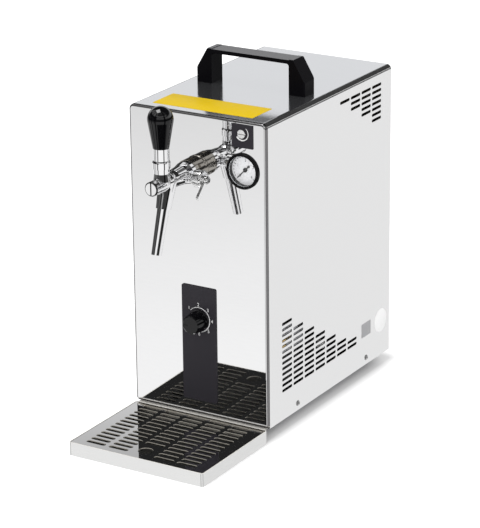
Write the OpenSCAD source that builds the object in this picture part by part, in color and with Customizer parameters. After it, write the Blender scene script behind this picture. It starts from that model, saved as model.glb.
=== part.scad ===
// Counter-top drink cooler with one dispensing tap, a gauge and a drip tray
// The front faces -Y and the feet stand on Z = 0; lengths are in millimetres

/* [Cabinet] */
// Width over the cover's sides
body_w = 175; // [170:1:200]
// Depth from the front panel's face to the cover's rear edge
body_d = 284; // [278:1:320]
// Height of the cover from its bottom edge to its top
cover_h = 352; // [344:1:390]
// Height of the rubber feet under the cabinet
foot_h = 16; // [16:0.5:24]
// Diameter of a rubber foot where it meets the base
foot_d = 24; // [18:1:30]
// Thickness of the steel sheet
sheet_t = 1.2; // [1:0.1:1.4]
// Clearance between one sheet and the sheet nested in it
sheet_gap = 0.3; // [0.2:0.05:0.4]
// Radius of the cover's two bends and of the front panel's upper corners
cover_bend_r = 6; // [5:0.5:9]

/* [Front panel] */
// Height of the panel's bottom edge above the cover's bottom edge
panel_sill = 2.6; // [2:0.2:4]
// Radius of the edge rolled back around the panel
panel_edge_r = 2.5; // [2.2:0.1:2.8]
// Depth of the rolled edge before the cover begins
panel_edge_d = 3; // [3:0.2:5]
// Open seam between the panel's edge and the cover
panel_seam = 1; // [0.3:0.1:1.5]
// Depth of the flange that reaches inside the cover
panel_flange_d = 14; // [10:1:18]

/* [Vents] */
// Length of a vent slot
vent_l = 22; // [18:0.5:23]
// Height of a vent slot
vent_h = 3.5; // [2.5:0.1:4]
// Spacing of the columns of slots
vent_pitch_l = 25; // [24.5:0.1:26]
// Spacing of the rows of slots
vent_pitch_h = 6.6; // [6:0.1:7]
// Start of the lower group behind the front panel
vent_low_y = 31.5; // [26:0.5:40]
// Height of the lower group's bottom row above the cover's edge
vent_low_z = 35; // [30:1:45]
// Distance from the upper group's last slot to the rear edge
vent_high_y = 24.5; // [20:0.5:30]
// Distance from the upper group's top row down from the cover's top
vent_high_z = 17; // [14:0.5:20]

/* [Carry handle] */
// Length of the handle over its legs
handle_l = 140; // [130:1:150]
// Height of the handle above the cover
handle_h = 40.5; // [36:0.5:50]
// Depth of the handle from front to back
handle_d = 23; // [20:0.5:28]
// Width of each leg
handle_leg_w = 20; // [18:0.5:24]
// Thickness of the grip bar
handle_bar_t = 5; // [4.5:0.1:7]
// Height at which the legs' outer sides begin to slope inwards
handle_slope_z = 16; // [12:0.5:20]
// How far the slope runs inwards
handle_slope_x = 14.5; // [10:0.5:16]
// Rounding of the handle's long edges
handle_edge_r = 2; // [1:0.2:2.4]
// Distance of the handle's front behind the front panel
handle_y = 113; // [100:1:125]

/* [Controls] */
// Width of the control fascia
fascia_w = 44; // [42:1:56]
// Height of the control fascia
fascia_h = 136; // [125:1:145]
// Thickness of the control fascia
fascia_t = 1.5; // [1:0.1:2]
// Height of the fascia above the panel's bottom edge
fascia_lift = 15.4; // [12:0.2:20]
// Height of the thermostat shaft above the fascia's bottom edge
knob_up = 96; // [88:1:100]
// Diameter of the thermostat knob at the fascia
knob_d = 26; // [24:0.5:28]
// Diameter of the thermostat knob at its face
knob_face_d = 21; // [18:0.5:23]
// Length of the thermostat knob
knob_l = 17.5; // [15:0.5:20]
// Diameter of the thermostat shaft
shaft_d = 6; // [5:0.1:7]
// Width and height of the regulator plate
plate_s = 26; // [25:0.5:27]
// Thickness of the regulator plate
plate_t = 1.2; // [0.8:0.1:1.6]
// Diameter of the slotted regulator screw
screw_d = 9.6; // [8:0.2:11]
// Distance of the regulator screw down from the cover's top
screw_drop = 13.5; // [12.5:0.1:14]
// How far the plate's centre sits below the screw
plate_drop = 3; // [2.5:0.1:3.5]
// Distance of the regulator and gauge column in from the cabinet's side
side_inset = 29; // [27:0.5:31]

/* [Pressure gauge] */
// Outer diameter of the gauge's bezel
gauge_d = 40.5; // [39:0.5:44]
// Diameter of the dial seen inside the bezel
gauge_view_d = 34; // [33:0.5:36]
// How far the bezel stands out of the panel
gauge_out = 2.4; // [2:0.1:3]
// Depth of the gauge's case behind its dial
gauge_deep = 15; // [12:1:22]
// Distance of the gauge's centre down from the cover's top
gauge_drop = 55.8; // [52:0.2:60]

/* [Tap] */
// Distance of the tap's axis down from the cover's top
tap_drop = 60; // [56:0.5:64]
// Diameter of the rosette against the panel
rosette_d = 28; // [27:0.5:32]
// Thickness of the rosette
rosette_t = 2.6; // [2:0.1:4]
// Diameter of the threaded shank through the panel
shank_d = 19.6; // [19:0.2:20.4]
// Outer diameter of the slotted collar nut
collar_d = 27; // [26:0.5:29]
// Length of the collar nut
collar_l = 17.4; // [16:0.2:18.8]
// Diameter of the tap's thick rear barrel
barrel_d = 25.4; // [24.6:0.2:26.4]
// Length of the thick rear barrel
barrel_l = 6; // [5:0.5:8]
// Diameter of the slim front barrel
nose_d = 17; // [16:0.2:18.5]
// Distance of the tap lever in front of the panel
lever_y = 70.5; // [69:0.5:74]
// Distance of the slotted front cap's face in front of the lever
cap_reach = 21.5; // [21:0.5:25]
// Length of the front cap
cap_l = 9.5; // [8.5:0.5:10.5]
// Diameter of the beer bore through the shank and body
bore_d = 10; // [8:0.2:10.4]
// Diameter of the plunger
plunger_d = 10.84; // [10.4:0.02:11.2]
// Radial running clearance of turning and sliding fits
fit_gap = 0.08; // [0.05:0.01:0.1]
// Radial clearance between parts that are assembled and stay still
seat_gap = 0.1; // [0.05:0.01:0.2]

/* [Spout] */
// Outer diameter of the spout in its socket
spout_top_d = 13.6; // [13:0.2:14]
// Outer diameter of the spout at its open tip
spout_d = 11.4; // [10.6:0.2:12]
// Wall of the spout tube
spout_wall = 1; // [0.8:0.1:1.4]
// Height of the spout's socket below the tap's axis
socket_drop = 28; // [26:0.5:31]
// Diameter of the socket at its lower end
socket_d = 17; // [16.4:0.2:18]
// Tilt of the spout from upright
spout_tilt = 18; // [14:0.5:22]
// Length of the tapered spout below its socket
spout_l = 50; // [40:1:56]

/* [Lever] */
// Height of the lever's pivot above the tap's axis
pivot_up = 21; // [20.5:0.1:22]
// Diameter of the lever's ball
ball_d = 12; // [11.4:0.1:12.4]
// Diameter of the nut that holds the ball
lever_nut_d = 19.5; // [19.2:0.1:20.4]
// Diameter of the ferrule under the black knob
ferrule_d = 17.6; // [16.8:0.1:18.2]
// Height of the ferrule's top above the pivot
ferrule_up = 19.4; // [18:0.1:22]
// Largest diameter of the black knob
grip_d = 28.4; // [27:0.2:32]
// Length of the black knob
grip_l = 46; // [42:0.5:54]
// Largest forward tilt of the lever, to pour
pour_angle = 26; // [20:1:28]

/* [Compensator] */
// Distance of the compensator's axis in front of the panel
comp_y = 34.5; // [33.5:0.1:35.5]
// Diameter of the compensator's round knob
comp_d = 20; // [18:0.5:22]
// Distance from the tap's axis to the knob's inner face
comp_in = 20; // [19:0.1:22]
// Width of the compensator's round knob
comp_l = 11; // [9:0.2:13]
// Length of the flat compensator lever
comp_lever_l = 25.5; // [22:0.5:29]
// Width of the flat compensator lever
comp_lever_w = 5.6; // [4.6:0.2:6.4]
// Slope of the flat lever below the horizontal
comp_lever_slope = 43; // [36:0.5:50]

/* [Drip tray] */
// How much narrower than the cabinet the drip tray is
tray_narrower = 1; // [0:0.5:8]
// Distance of the tray's front edge in front of the panel
tray_reach = 136; // [130:1:150]
// Height of the tray's rim
tray_h = 15.7; // [14:0.1:15.7]
// Thickness of the tray's and grid's sheet
tray_t = 1; // [0.8:0.1:1.2]
// How far the tray's rear lip tucks under the cabinet
tray_tuck = 9; // [6:0.5:12]
// Clearance around the grid inside the tray
grid_gap = 0.5; // [0.4:0.05:0.8]
// Depth of the grid's top below the tray's rim
grid_sink = 0.2; // [0.1:0.1:1]
// Length of a grid slot
grid_slot_l = 25; // [20:0.5:26]
// Width of a grid slot
grid_slot_w = 5.8; // [3:0.2:6.4]
// Spacing of the grid's columns
grid_pitch_x = 29.5; // [28:0.1:30]
// Spacing of the grid's rows
grid_pitch_y = 9.46; // [9.2:0.02:9.8]
// Distance of the grid's last row in front of the panel
grid_last_y = 9.6; // [9:0.1:10]
// Diameter of the finger hole
finger_d = 17; // [15:0.5:17.5]

/* [Inside] */
// Height of the equipment shelf above the base
shelf_up = 168; // [166:1:172]
// Radius of the compressor's shell
compressor_r = 50; // [44:0.5:52]
// Distance of the compressor's middle behind the front panel
compressor_y = 150; // [146:1:154]
// Side length of the fan's square frame
fan_s = 116; // [104:1:120]
// Depth of the fan's frame
fan_d = 25; // [25:0.5:30]
// Depth of the condenser
condenser_d = 38; // [26:1:42]
// Width of the foam around the cooling block
foam_w = 112; // [104:1:114]
// Depth of the foam around the cooling block
foam_d = 104; // [96:1:112]
// Thickness of the foam's walls
foam_wall = 14; // [10:1:18]
// Outer diameter of the beer line
line_d = 9.5; // [8:0.5:10]
// Outer diameter of the air lines
air_d = 8; // [6:0.5:8]

/* [Rear] */
// Distance of the rear panel in from the cover's rear edge
rear_inset = 2; // [1.5:0.5:6]
// How far the push-fit fittings stand out of the rear panel
fitting_l = 22; // [20:0.5:28]
// Depth of tube that a push-fit fitting takes
push_depth = 18; // [14:0.5:19]
// Height of the beer inlet and the air outlet above the base
inlet_up = 96; // [92:1:102]
// Diameter of the cord that the cable gland takes
cord_d = 7; // [6:0.2:8]

/* [Hidden] */
$fn = 48;

// How far a cutting shape runs past the face it cuts
cut = 1;

// Levels and depths of the cabinet, with Y = 0 on the front panel's face
top_z = foot_h + cover_h;
floor_z = foot_h + sheet_t;
nest = sheet_t + sheet_gap;
panel_z = foot_h + panel_sill;
cover_y = panel_edge_d + panel_seam;
rear_y = body_d - rear_inset;
rear_in_y = rear_y - sheet_t;
front_y = -(rear_y + fitting_l - tray_reach) / 2;
rear_flange_d = 12;
pan_flange_h = 20;
pan_flange_gap = 2;
side_x = body_w / 2 - side_inset;

// Rubber feet
foot_side = 30;
foot_end = 36;
foot_taper = 5;
foot_tip_d = foot_d - foot_taper;

// Cover screws on both sides
cover_screw_d = 3.5;
cover_screw_head_d = 7;
cover_screw_head_h = 1.8;
cover_screw_dome_r =
    (cover_screw_head_d * cover_screw_head_d / 4 / cover_screw_head_h + cover_screw_head_h) / 2;
cover_screw_l = 8;
cover_screw_up = 8.5;
cover_screw_front = 66;
cover_screw_rear = 57;
cover_screw_z = foot_h + cover_screw_up;
cover_screw_y = [cover_screw_front, body_d - cover_screw_rear];

// Rows in each column of vent slots, the lower group from the front, the upper group to the rear
vent_low_rows = [13, 11, 9, 7, 5, 3, 2];
vent_high_rows = [1, 3, 5, 7];
rear_vent_columns = 4;
rear_vent_rows = 14;

// Handle
handle_screw_d = 5;
handle_screw_head_d = 9;
handle_screw_head_h = 3;
handle_screw_l = 14;
handle_screw_x = handle_l / 2 - handle_leg_w / 2;
handle_screw_y = handle_y + handle_d / 2;
handle_corner_r = 3;
handle_bar_sink = 0.7;

// Controls
fascia_corner_r = 2;
fascia_z = panel_z + fascia_lift;
knob_z = fascia_z + knob_up;
knob_gap = 0.5;
knob_y = fascia_t + knob_gap;
knob_edge = 1;
knob_mark_w = 1.4;
knob_mark_deep = 0.6;
knob_rest_angle = 180;
bush_wall = 1.8;
bush_d = shaft_d + 2 * bush_wall;
thermostat_w = 38;
thermostat_h = 34;
thermostat_d = 30;
screw_z = top_z - screw_drop;
plate_z = screw_z - plate_drop;
screw_out = 1.8;
screw_slot_w = 1.4;
screw_slot_deep = 1;
stem_d = 5;
regulator_d = 19;
regulator_l = 31;

// Gauge, measured out of the panel
gauge_z = top_z - gauge_drop;
bezel_lip = 0.8;
sleeve_t = 0.75;
gauge_stem_d = 10;
case_d = gauge_view_d + 2 * sleeve_t;
lens_t = 1;
lens_sink = 1;
lens_out = gauge_out - lens_sink;
dial_t = 0.8;
dial_deep = 5.4;
sleeve_l = dial_deep - seat_gap;
case_y = dial_deep + dial_t;
needle_t = 0.6;
needle_lift = 0.8;
needle_y = dial_deep - needle_lift;
needle_l = 13.4;
needle_tail = 6;
needle_weight_d = 2.8;
needle_w = 1.1;
needle_hub_d = 5;
needle_shaft_d = 1.2;
needle_rest_angle = 225;

// Tap, measured out of the panel along its axis
tap_z = top_z - tap_drop;
collar_end = rosette_t + collar_l;
collar_lip = 3;
collar_slots = 6;
collar_slot_w = 4;
collar_slot_deep = 1.6;
collar_slot_l = 9;
neck_step = 1.2;
neck_d = shank_d - 2 * neck_step;
body_head_l = 3;
body_head_out = collar_end - collar_lip - seat_gap;
shank_out = body_head_out - body_head_l - seat_gap;
shank_in = 46;
nut_af = 27;
nut_l = 7;
barrel_out = collar_end + sheet_gap;
barrel_end = barrel_out + barrel_l;
shoulder_step = 1.7;
shoulder_d = barrel_d - 2 * shoulder_step;
shoulder_l = 8;
shoulder_end = barrel_end + shoulder_l;
waist_step = 1.2;
waist_d = nose_d + 2 * waist_step;
waist_l = 14;
waist_end = shoulder_end + waist_l;
taper_l = 5;
cap_y = lever_y + cap_reach;
nose_end = cap_y - cap_l;
cap_step = 0.5;
cap_d = nose_d - 2 * cap_step;
cap_slot_w = 1.6;
cap_slot_deep = 1.4;
cap_pocket = 4;
cap_edge = 0.8;
chamber_d = plunger_d + 2 * fit_gap;
chamber_back = 20.5;

// Spout leg, hung from the tap's axis behind the lever and tilted forwards
leg_back = 10.4;
leg_out = lever_y - leg_back;
leg_top_d = 21;
leg_l = socket_drop / cos(spout_tilt);
socket_deep = 9;
spout_bore_d = spout_d - 2 * spout_wall;

// Lever
pivot_z = tap_z + pivot_up;
neck_up_d = ferrule_d;
neck_flare = 1.2;
neck_flare_d = neck_up_d + 2 * neck_flare;
neck_flare_up = 4.2;
neck_flare_l = 8.6;
nut_bottom = -2.7;
neck_top = nut_bottom - 2 * seat_gap;
nut_dome = 0.75;
nut_dome_r = lever_nut_d / 2 + nut_dome;
skirt_r = nut_dome_r + sheet_gap;
lever_stem_d = 6;
finger_pin_d = 4;
finger_over = 2;
swing_spare = 2;
swing = pour_angle + swing_spare;
open_angle = swing + asin(lever_stem_d / ball_d);
stud_d = 8;
stud_l = 16;
grip_r = grip_d / 2;
grip_c = grip_l - grip_r;
grip_taper = asin(grip_r / norm([grip_c, ferrule_d / 2])) - atan(ferrule_d / 2 / grip_c);
plunger_slot = 4;
plunger_front = 3.4;
plunger_rear = 4;

// Compensator
comp_boss_d = 13;
comp_boss_l = 12.5;
comp_neck_d = 8.4;
comp_neck_end = comp_in - sheet_gap;
comp_rings = 2;
comp_ring_d = 10.6;
comp_ring_l = 1.4;
comp_ring_step = (comp_neck_end - comp_boss_l) / comp_rings;
comp_stem_d = 6;
comp_stem_in = 5.6;
comp_end = comp_in + comp_l;
comp_edge_r = 2.5;
comp_bevel = 1.5;
comp_hub_d = 9;
comp_hub_l = 1;
comp_spigot_d = 6;
comp_lever_t = 3;
comp_cap_l = 1.6;
cone_gap = 0.4;
cone_lead = 5;
cone_out = comp_y - cone_lead;
cone_l = 25;
cone_guide_l = 3;
cone_tip_d = 3;
cone_head_l = 5;

// Drip tray and grid
tray_back = 1;
tray_w = body_w - tray_narrower;
tray_corner_r = 3;
tray_lip_w = tray_w - 2 * tray_corner_r;
grid_columns = 5;
grid_front_room = 11;
grid_rows = floor((tray_reach - grid_last_y - grid_front_room) / grid_pitch_y) + 1;
grid_stand = 0.3;
grid_w = tray_w - 2 * (tray_t + grid_gap);
grid_d = tray_reach - tray_back - 2 * (tray_t + grid_gap);
grid_front = -tray_reach + tray_t + grid_gap;
grid_top = tray_h - grid_sink;
finger_rows = 3;
finger_shift = 10.1;
finger_y = -(grid_last_y + (grid_rows - finger_rows) * grid_pitch_y + finger_shift);

// Inside
shelf_z = floor_z + shelf_up;
shelf_top = shelf_z + sheet_t;
shelf_side = 4.5;
shelf_w = body_w - 2 * (nest + shelf_side);
shelf_flange_h = 15;
foam_side = 8;
foam_x = -body_w / 2 + nest + foam_side;
foam_headroom = 13;
foam_h = top_z - foam_headroom - shelf_top;
mount_d = 18;
mount_h = 12;
mount_step = 44;
compressor_x = -8;
compressor_foot = floor_z + mount_h;
compressor_foot_t = 2;
shell_low_h = 55;
shell_seam_h = 6;
shell_seam_out = 3;
shell_up_h = 25;
shell_dome_h = 17.5;
shell_dome_r = (compressor_r * compressor_r / shell_dome_h + shell_dome_h) / 2;
condenser_w = 124;
condenser_h = 110;
condenser_fins = 13;
fin_t = 1.2;
tube_d = 8;
tube_rows = 4;
tube_columns = 2;
fan_z = shelf_top + fan_s / 2;
fan_front = rear_in_y - fan_d;
fan_rim = 3;
fan_hole_d = fan_s - 2 * fan_rim;
motor_d = 30;
motor_l = 14.2;
strut_t = 2;
strut_w = 6;
rotor_in = 6.2;
rotor_l = 14;
rotor_wall = 2;
rotor_gap = 1;
rotor_shaft_d = 4;
blade_count = 7;
blade_pitch = 35;
blade_t = 1.6;
tip_gap = 2.5;
pump_w = 34;
pump_d = 54;
pump_h = 32;
bracket_short = 2;
bracket_d = pump_d - bracket_short;
pump_y = 28;
pump_side = 7.8;
pump_x = body_w / 2 - sheet_t - pump_side - pump_w;
pump_mid_x = pump_x + pump_w / 2;
pump_up = 73;
pump_z = foot_h + pump_up;
pump_motor_d = 28;
pump_motor_l = 22;
pump_motor_up = 4;
pump_motor_z = pump_z + pump_motor_up;
filter_d = 12;
filter_neck_d = 5;
filter_back = 62;
filter_drop = 22;
filter_y = pump_y + pump_d + filter_back;
filter_z = pump_z - filter_drop;
filter_x = pump_x + pump_w - filter_d / 2;
filter_neck_up = 23;
elbow_back = 14;
elbow_up = 15;
elbow_y = pump_y + elbow_back;
elbow_z = pump_z + elbow_up;
elbow_d = 13;
elbow_l = 5;
elbow_stem_d = 4;
elbow_stem_l = 20;
line_wall = 1.2;
bend_r = 12;
beer_side = 42.5;
beer_rise = 36;
beer_entry = 38;
beer_spare = 2;
beer_x = -body_w / 2 + beer_side;
beer_up_y = rear_in_y - beer_rise;
beer_in_y = shank_in + foam_wall + beer_entry;
beer_run_z = shelf_z - bend_r - beer_spare;
gauge_line_d = 6;
gauge_line_y = sheet_t + regulator_l + bend_r;

// Rear fittings
inlet_z = foot_h + inlet_up;
air_shift = 0.5;
air_x = pump_mid_x + air_shift;
fitting_d = 22;
fitting_flange_t = 4;
fitting_nose_d = 17;
fitting_stub_d = 14;
fitting_stub_l = 14;
fitting_tip_l = 3;
gland_up = 40;
gland_z = foot_h + gland_up;
gland_d = 20;
gland_l = 16;
gland_stub_d = 12;
gland_stub_l = 8;
gland_nut_l = 5;
gland_dome_d = 19;
gland_tip_d = 14;
switch_w = 19;
switch_h = 13;
switch_deep = 14;
switch_rim = 2;
switch_rim_t = 1.8;
switch_wall = 1.2;
switch_corner_r = 1;
rocker_tilt = 10;
rocker_half = switch_h / 2 - switch_wall - seat_gap;
rocker_out = 2.4;
rocker_dip = 0.8;
rocker_hub_r = 3.7;

// Helpers that place and cut shapes

// Moves the panel's face from Y = 0 to its place in the finished part
module from_panel() {
    translate([0, front_y, 0]) children();
}

// A flat XZ outline made solid from y to y + depth
module upright(y, depth) {
    translate([0, y + depth, 0]) rotate([90, 0, 0]) linear_extrude(depth) children();
}

// A flat YZ outline made solid from x to x + width
module sideways(x, width) {
    translate([x, 0, 0]) rotate([90, 0, 90]) linear_extrude(width) children();
}

// Points local Z out of the panel, starting the given distance in front of it
module outward(x, z, out) {
    translate([x, -out, z]) rotate([90, 0, 0]) children();
}

// Points local Z into the cabinet, starting the given distance behind the panel
module inward(x, z, deep) {
    translate([x, deep, z]) rotate([-90, 0, 0]) children();
}

// Points local Z along +X from the tap's compensator axis
module to_side(x) {
    translate([x, -comp_y, tap_z]) rotate([0, 90, 0]) children();
}

module ring(outer_d, inner_d, length) {
    difference() {
        cylinder(d = outer_d, h = length);
        translate([0, 0, -cut]) cylinder(d = inner_d, h = length + 2 * cut);
    }
}

// Rounded rectangle, centred in X, standing on Y = 0
module rounded(w, h, r) {
    translate([-w / 2 + r, 0]) square([w - 2 * r, h]);
    translate([-w / 2, r]) square([w, h - 2 * r]);
    for (x = [-w / 2 + r, w / 2 - r])
        for (y = [r, h - r])
            translate([x, y]) circle(r);
}

// Slot with round ends, from its left end at X = 0
module slot(length, height) {
    translate([height / 2, -height / 2]) square([length - height, height]);
    for (x = [height / 2, length - height / 2])
        translate([x, 0]) circle(height / 2);
}

// Outline of the cabinet seen from the front, set in by a distance
module arch(inset, bottom) {
    r = cover_bend_r - inset;
    half = body_w / 2 - inset;
    high = top_z - inset;
    translate([-half, bottom]) square([2 * half, high - r - bottom]);
    translate([-half + r, bottom]) square([2 * (half - r), high - bottom]);
    for (x = [-half + r, half - r])
        translate([x, high - r]) circle(r);
}

// Outline of the front panel, set in by a distance
module panel_outline(inset) {
    arch(inset, panel_z + inset);
}

// Solid plate with its front edges rolled back, set in by a distance
module rolled_plate(inset, depth) {
    edge = panel_edge_r - inset;
    corner = cover_bend_r - inset;
    half = body_w / 2 - inset;
    low = panel_z + inset;
    high = top_z - inset;
    translate([0, inset, 0]) intersection() {
        union() {
            upright(edge, depth - edge) panel_outline(inset);
            upright(0, depth) arch(inset + edge, low);
            intersection() {
                translate([-half, 0, low]) cube([2 * half, edge, high - low]);
                union() {
                    translate([0, edge, high - edge]) rotate([0, 90, 0])
                        cylinder(r = edge, h = 2 * (half - corner), center = true);
                    for (x = [-half + edge, half - edge])
                        translate([x, edge, low]) cylinder(r = edge, h = high - low - corner);
                }
            }
            for (x = [-half + corner, half - corner])
                translate([x, edge, high - corner]) rotate([90, 0, 0]) rotate_extrude()
                    intersection() {
                        translate([corner - edge, 0]) circle(edge);
                        square([corner, edge]);
                    }
        }
        sideways(-half, 2 * half) {
            translate([0, low + edge]) square([depth, high - low]);
            translate([edge, low]) square([depth - edge, high - low]);
            translate([edge, low + edge]) circle(edge);
        }
    }
}

// Outlines of both groups of vent slots, in Y and Z
module vent_slots() {
    for (i = [0:len(vent_low_rows) - 1])
        for (j = [0:vent_low_rows[i] - 1])
            translate([vent_low_y + i * vent_pitch_l, foot_h + vent_low_z + j * vent_pitch_h])
                slot(vent_l, vent_h);
    last = len(vent_high_rows) - 1;
    for (i = [0:last])
        for (j = [0:vent_high_rows[i] - 1])
            translate([
                body_d - vent_high_y - vent_l - (last - i) * vent_pitch_l,
                top_z - vent_high_z - j * vent_pitch_h
            ])
                slot(vent_l, vent_h);
}

// Path of the beer line from the rear inlet up into the cooling block, drawn at a diameter
module beer_path(d) {
    rear_start = rear_in_y - fitting_stub_l;
    translate([beer_x, beer_up_y + bend_r, inlet_z]) rotate([-90, 0, 0])
        cylinder(d = d, h = rear_start - beer_up_y - bend_r);
    translate([beer_x, beer_up_y + bend_r, inlet_z + bend_r]) quarter_bend(d, 180);
    translate([beer_x, beer_up_y, inlet_z + bend_r])
        cylinder(d = d, h = beer_run_z - inlet_z - 2 * bend_r);
    translate([beer_x, beer_up_y - bend_r, beer_run_z - bend_r]) quarter_bend(d, 0);
    translate([beer_x, beer_in_y + bend_r, beer_run_z]) rotate([-90, 0, 0])
        cylinder(d = d, h = beer_up_y - beer_in_y - 2 * bend_r);
    translate([beer_x, beer_in_y + bend_r, beer_run_z + bend_r]) quarter_bend(d, 180);
    translate([beer_x, beer_in_y, beer_run_z + bend_r])
        cylinder(d = d, h = shelf_top - beer_run_z - bend_r);
}

// Quarter of a bent tube in the YZ plane, from the given angle on
module quarter_bend(d, start) {
    rotate([90, 0, 90]) rotate([0, 0, start])
        rotate_extrude(angle = 90) translate([bend_r, 0]) circle(d = d);
}

// Cabinet

module base_pan() {
    half = body_w / 2 - nest;
    flange_y = panel_flange_d + pan_flange_gap;
    flange_l = rear_in_y - rear_flange_d - pan_flange_gap - flange_y;
    color("silver") from_panel() difference() {
        union() {
            translate([-half, cover_y, foot_h]) cube([2 * half, rear_y - cover_y, sheet_t]);
            for (x = [-half, half - sheet_t])
                translate([x, flange_y, foot_h]) cube([sheet_t, flange_l, pan_flange_h]);
        }
        for (y = cover_screw_y)
            translate([0, y, cover_screw_z]) rotate([0, 90, 0])
                cylinder(d = cover_screw_d + 2 * seat_gap, h = body_w, center = true);
    }
}

module feet() {
    color("dimgray") from_panel()
        for (x = [-body_w / 2 + foot_side, body_w / 2 - foot_side])
            for (y = [foot_end, body_d - foot_end])
                translate([x, y, 0]) cylinder(d1 = foot_tip_d, d2 = foot_d, h = foot_h);
}

module front_panel() {
    color("gainsboro") from_panel() difference() {
        union() {
            difference() {
                rolled_plate(0, panel_edge_d);
                rolled_plate(sheet_t, panel_edge_d);
            }
            upright(sheet_t / 2, panel_flange_d - sheet_t / 2) difference() {
                panel_outline(nest);
                panel_outline(nest + sheet_t);
            }
        }
        inward(0, tap_z, -cut) cylinder(d = shank_d + 2 * seat_gap, h = panel_flange_d);
        inward(side_x, gauge_z, -cut) cylinder(d = case_d + 2 * seat_gap, h = panel_flange_d);
        inward(side_x, screw_z, -cut) cylinder(d = stem_d + 2 * sheet_gap, h = panel_flange_d);
        inward(0, knob_z, -cut) cylinder(d = bush_d + 2 * seat_gap, h = panel_flange_d);
    }
}

module cover() {
    color("whitesmoke") from_panel() difference() {
        upright(cover_y, body_d - cover_y) difference() {
            arch(0, foot_h);
            arch(sheet_t, foot_h - cut);
        }
        sideways(-body_w, 2 * body_w) vent_slots();
        for (y = cover_screw_y)
            translate([0, y, cover_screw_z]) rotate([0, 90, 0])
                cylinder(d = cover_screw_d + 2 * seat_gap, h = 2 * body_w, center = true);
        for (x = [-handle_screw_x, handle_screw_x])
            translate([x, handle_screw_y, top_z - 2 * sheet_t])
                cylinder(d = handle_screw_d + 2 * seat_gap, h = 3 * sheet_t);
    }
}

module rear_panel() {
    vent_w = (rear_vent_columns - 1) * vent_pitch_l + vent_l;
    vent_low = fan_z - (rear_vent_rows - 1) * vent_pitch_h / 2;
    color("gainsboro") from_panel() difference() {
        union() {
            upright(rear_in_y, sheet_t) arch(nest, floor_z);
            upright(rear_in_y - rear_flange_d, rear_flange_d) difference() {
                arch(nest, floor_z);
                arch(nest + sheet_t, floor_z - cut);
            }
        }
        upright(rear_in_y - cut, sheet_t + 2 * cut) {
            for (i = [0:rear_vent_columns - 1])
                for (j = [0:rear_vent_rows - 1])
                    translate([-vent_w / 2 + i * vent_pitch_l, vent_low + j * vent_pitch_h])
                        slot(vent_l, vent_h);
            translate([-switch_w / 2 - seat_gap, inlet_z - switch_h / 2 - seat_gap])
                square([switch_w + 2 * seat_gap, switch_h + 2 * seat_gap]);
        }
        for (x = [beer_x, air_x])
            inward(x, inlet_z, rear_in_y - cut)
                cylinder(d = fitting_stub_d + 2 * seat_gap, h = sheet_t + 2 * cut);
        inward(0, gland_z, rear_in_y - cut)
            cylinder(d = gland_stub_d + 2 * seat_gap, h = sheet_t + 2 * cut);
    }
}

module cover_screws() {
    color("silver") from_panel()
        for (side = [-1, 1])
            for (y = cover_screw_y)
                translate([side * body_w / 2, y, cover_screw_z]) rotate([0, side * 90, 0]) {
                    intersection() {
                        cylinder(d = cover_screw_head_d, h = cover_screw_head_h);
                        translate([0, 0, cover_screw_head_h - cover_screw_dome_r])
                            sphere(r = cover_screw_dome_r);
                    }
                    translate([0, 0, -cover_screw_l])
                        cylinder(d = cover_screw_d, h = cover_screw_l + cover_screw_head_h / 2);
                }
}

module carry_handle() {
    half = handle_l / 2;
    inner = half - handle_leg_w;
    gap_h = handle_h - handle_bar_t;
    color("black") from_panel() translate([0, handle_y, top_z]) difference() {
        intersection() {
            upright(0, handle_d) difference() {
                polygon([
                    [-half, 0], [-half, handle_slope_z], [-half + handle_slope_x, handle_h],
                    [half - handle_slope_x, handle_h], [half, handle_slope_z], [half, 0]
                ]);
                translate([0, -handle_corner_r])
                    rounded(2 * inner, gap_h + handle_corner_r, handle_corner_r);
            }
            sideways(-half, handle_l) translate([handle_d / 2, -handle_edge_r])
                rounded(handle_d, handle_h + handle_edge_r, handle_edge_r);
            linear_extrude(handle_h) rounded(handle_l, handle_d, handle_edge_r);
        }
        translate([-inner, -cut, handle_h - handle_bar_sink])
            cube([2 * inner, handle_d + 2 * cut, handle_h]);
        for (x = [-handle_screw_x, handle_screw_x])
            translate([x, handle_d / 2, -cut])
                cylinder(d = handle_screw_d + 2 * seat_gap, h = handle_screw_l + 2 * cut);
    }
}

module handle_screws() {
    color("silver") from_panel()
        for (x = [-handle_screw_x, handle_screw_x])
            translate([x, handle_screw_y, top_z - sheet_t]) {
                cylinder(d = handle_screw_d, h = handle_screw_l);
                translate([0, 0, -handle_screw_head_h])
                    cylinder(d = handle_screw_head_d, h = handle_screw_head_h);
            }
}

// Controls on the front panel

module control_fascia() {
    color("#2b2a2e") from_panel() difference() {
        upright(-fascia_t, fascia_t) translate([0, fascia_z])
            rounded(fascia_w, fascia_h, fascia_corner_r);
        inward(0, knob_z, -fascia_t - cut)
            cylinder(d = bush_d + 2 * seat_gap, h = fascia_t + 2 * cut);
    }
}

module thermostat() {
    color("lightgray") from_panel() difference() {
        union() {
            translate([-thermostat_w / 2, sheet_t, knob_z - thermostat_h / 2])
                cube([thermostat_w, thermostat_d, thermostat_h]);
            inward(0, knob_z, -fascia_t) cylinder(d = bush_d, h = fascia_t + 2 * sheet_t);
        }
        inward(0, knob_z, -fascia_t - cut)
            cylinder(d = shaft_d + 2 * fit_gap, h = fascia_t + thermostat_d / 2);
    }
}

module thermostat_shaft() {
    color("silver") from_panel()
        outward(0, knob_z, -thermostat_d / 3)
            cylinder(d = shaft_d, h = thermostat_d / 3 + knob_y + knob_l / 2);
}

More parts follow.
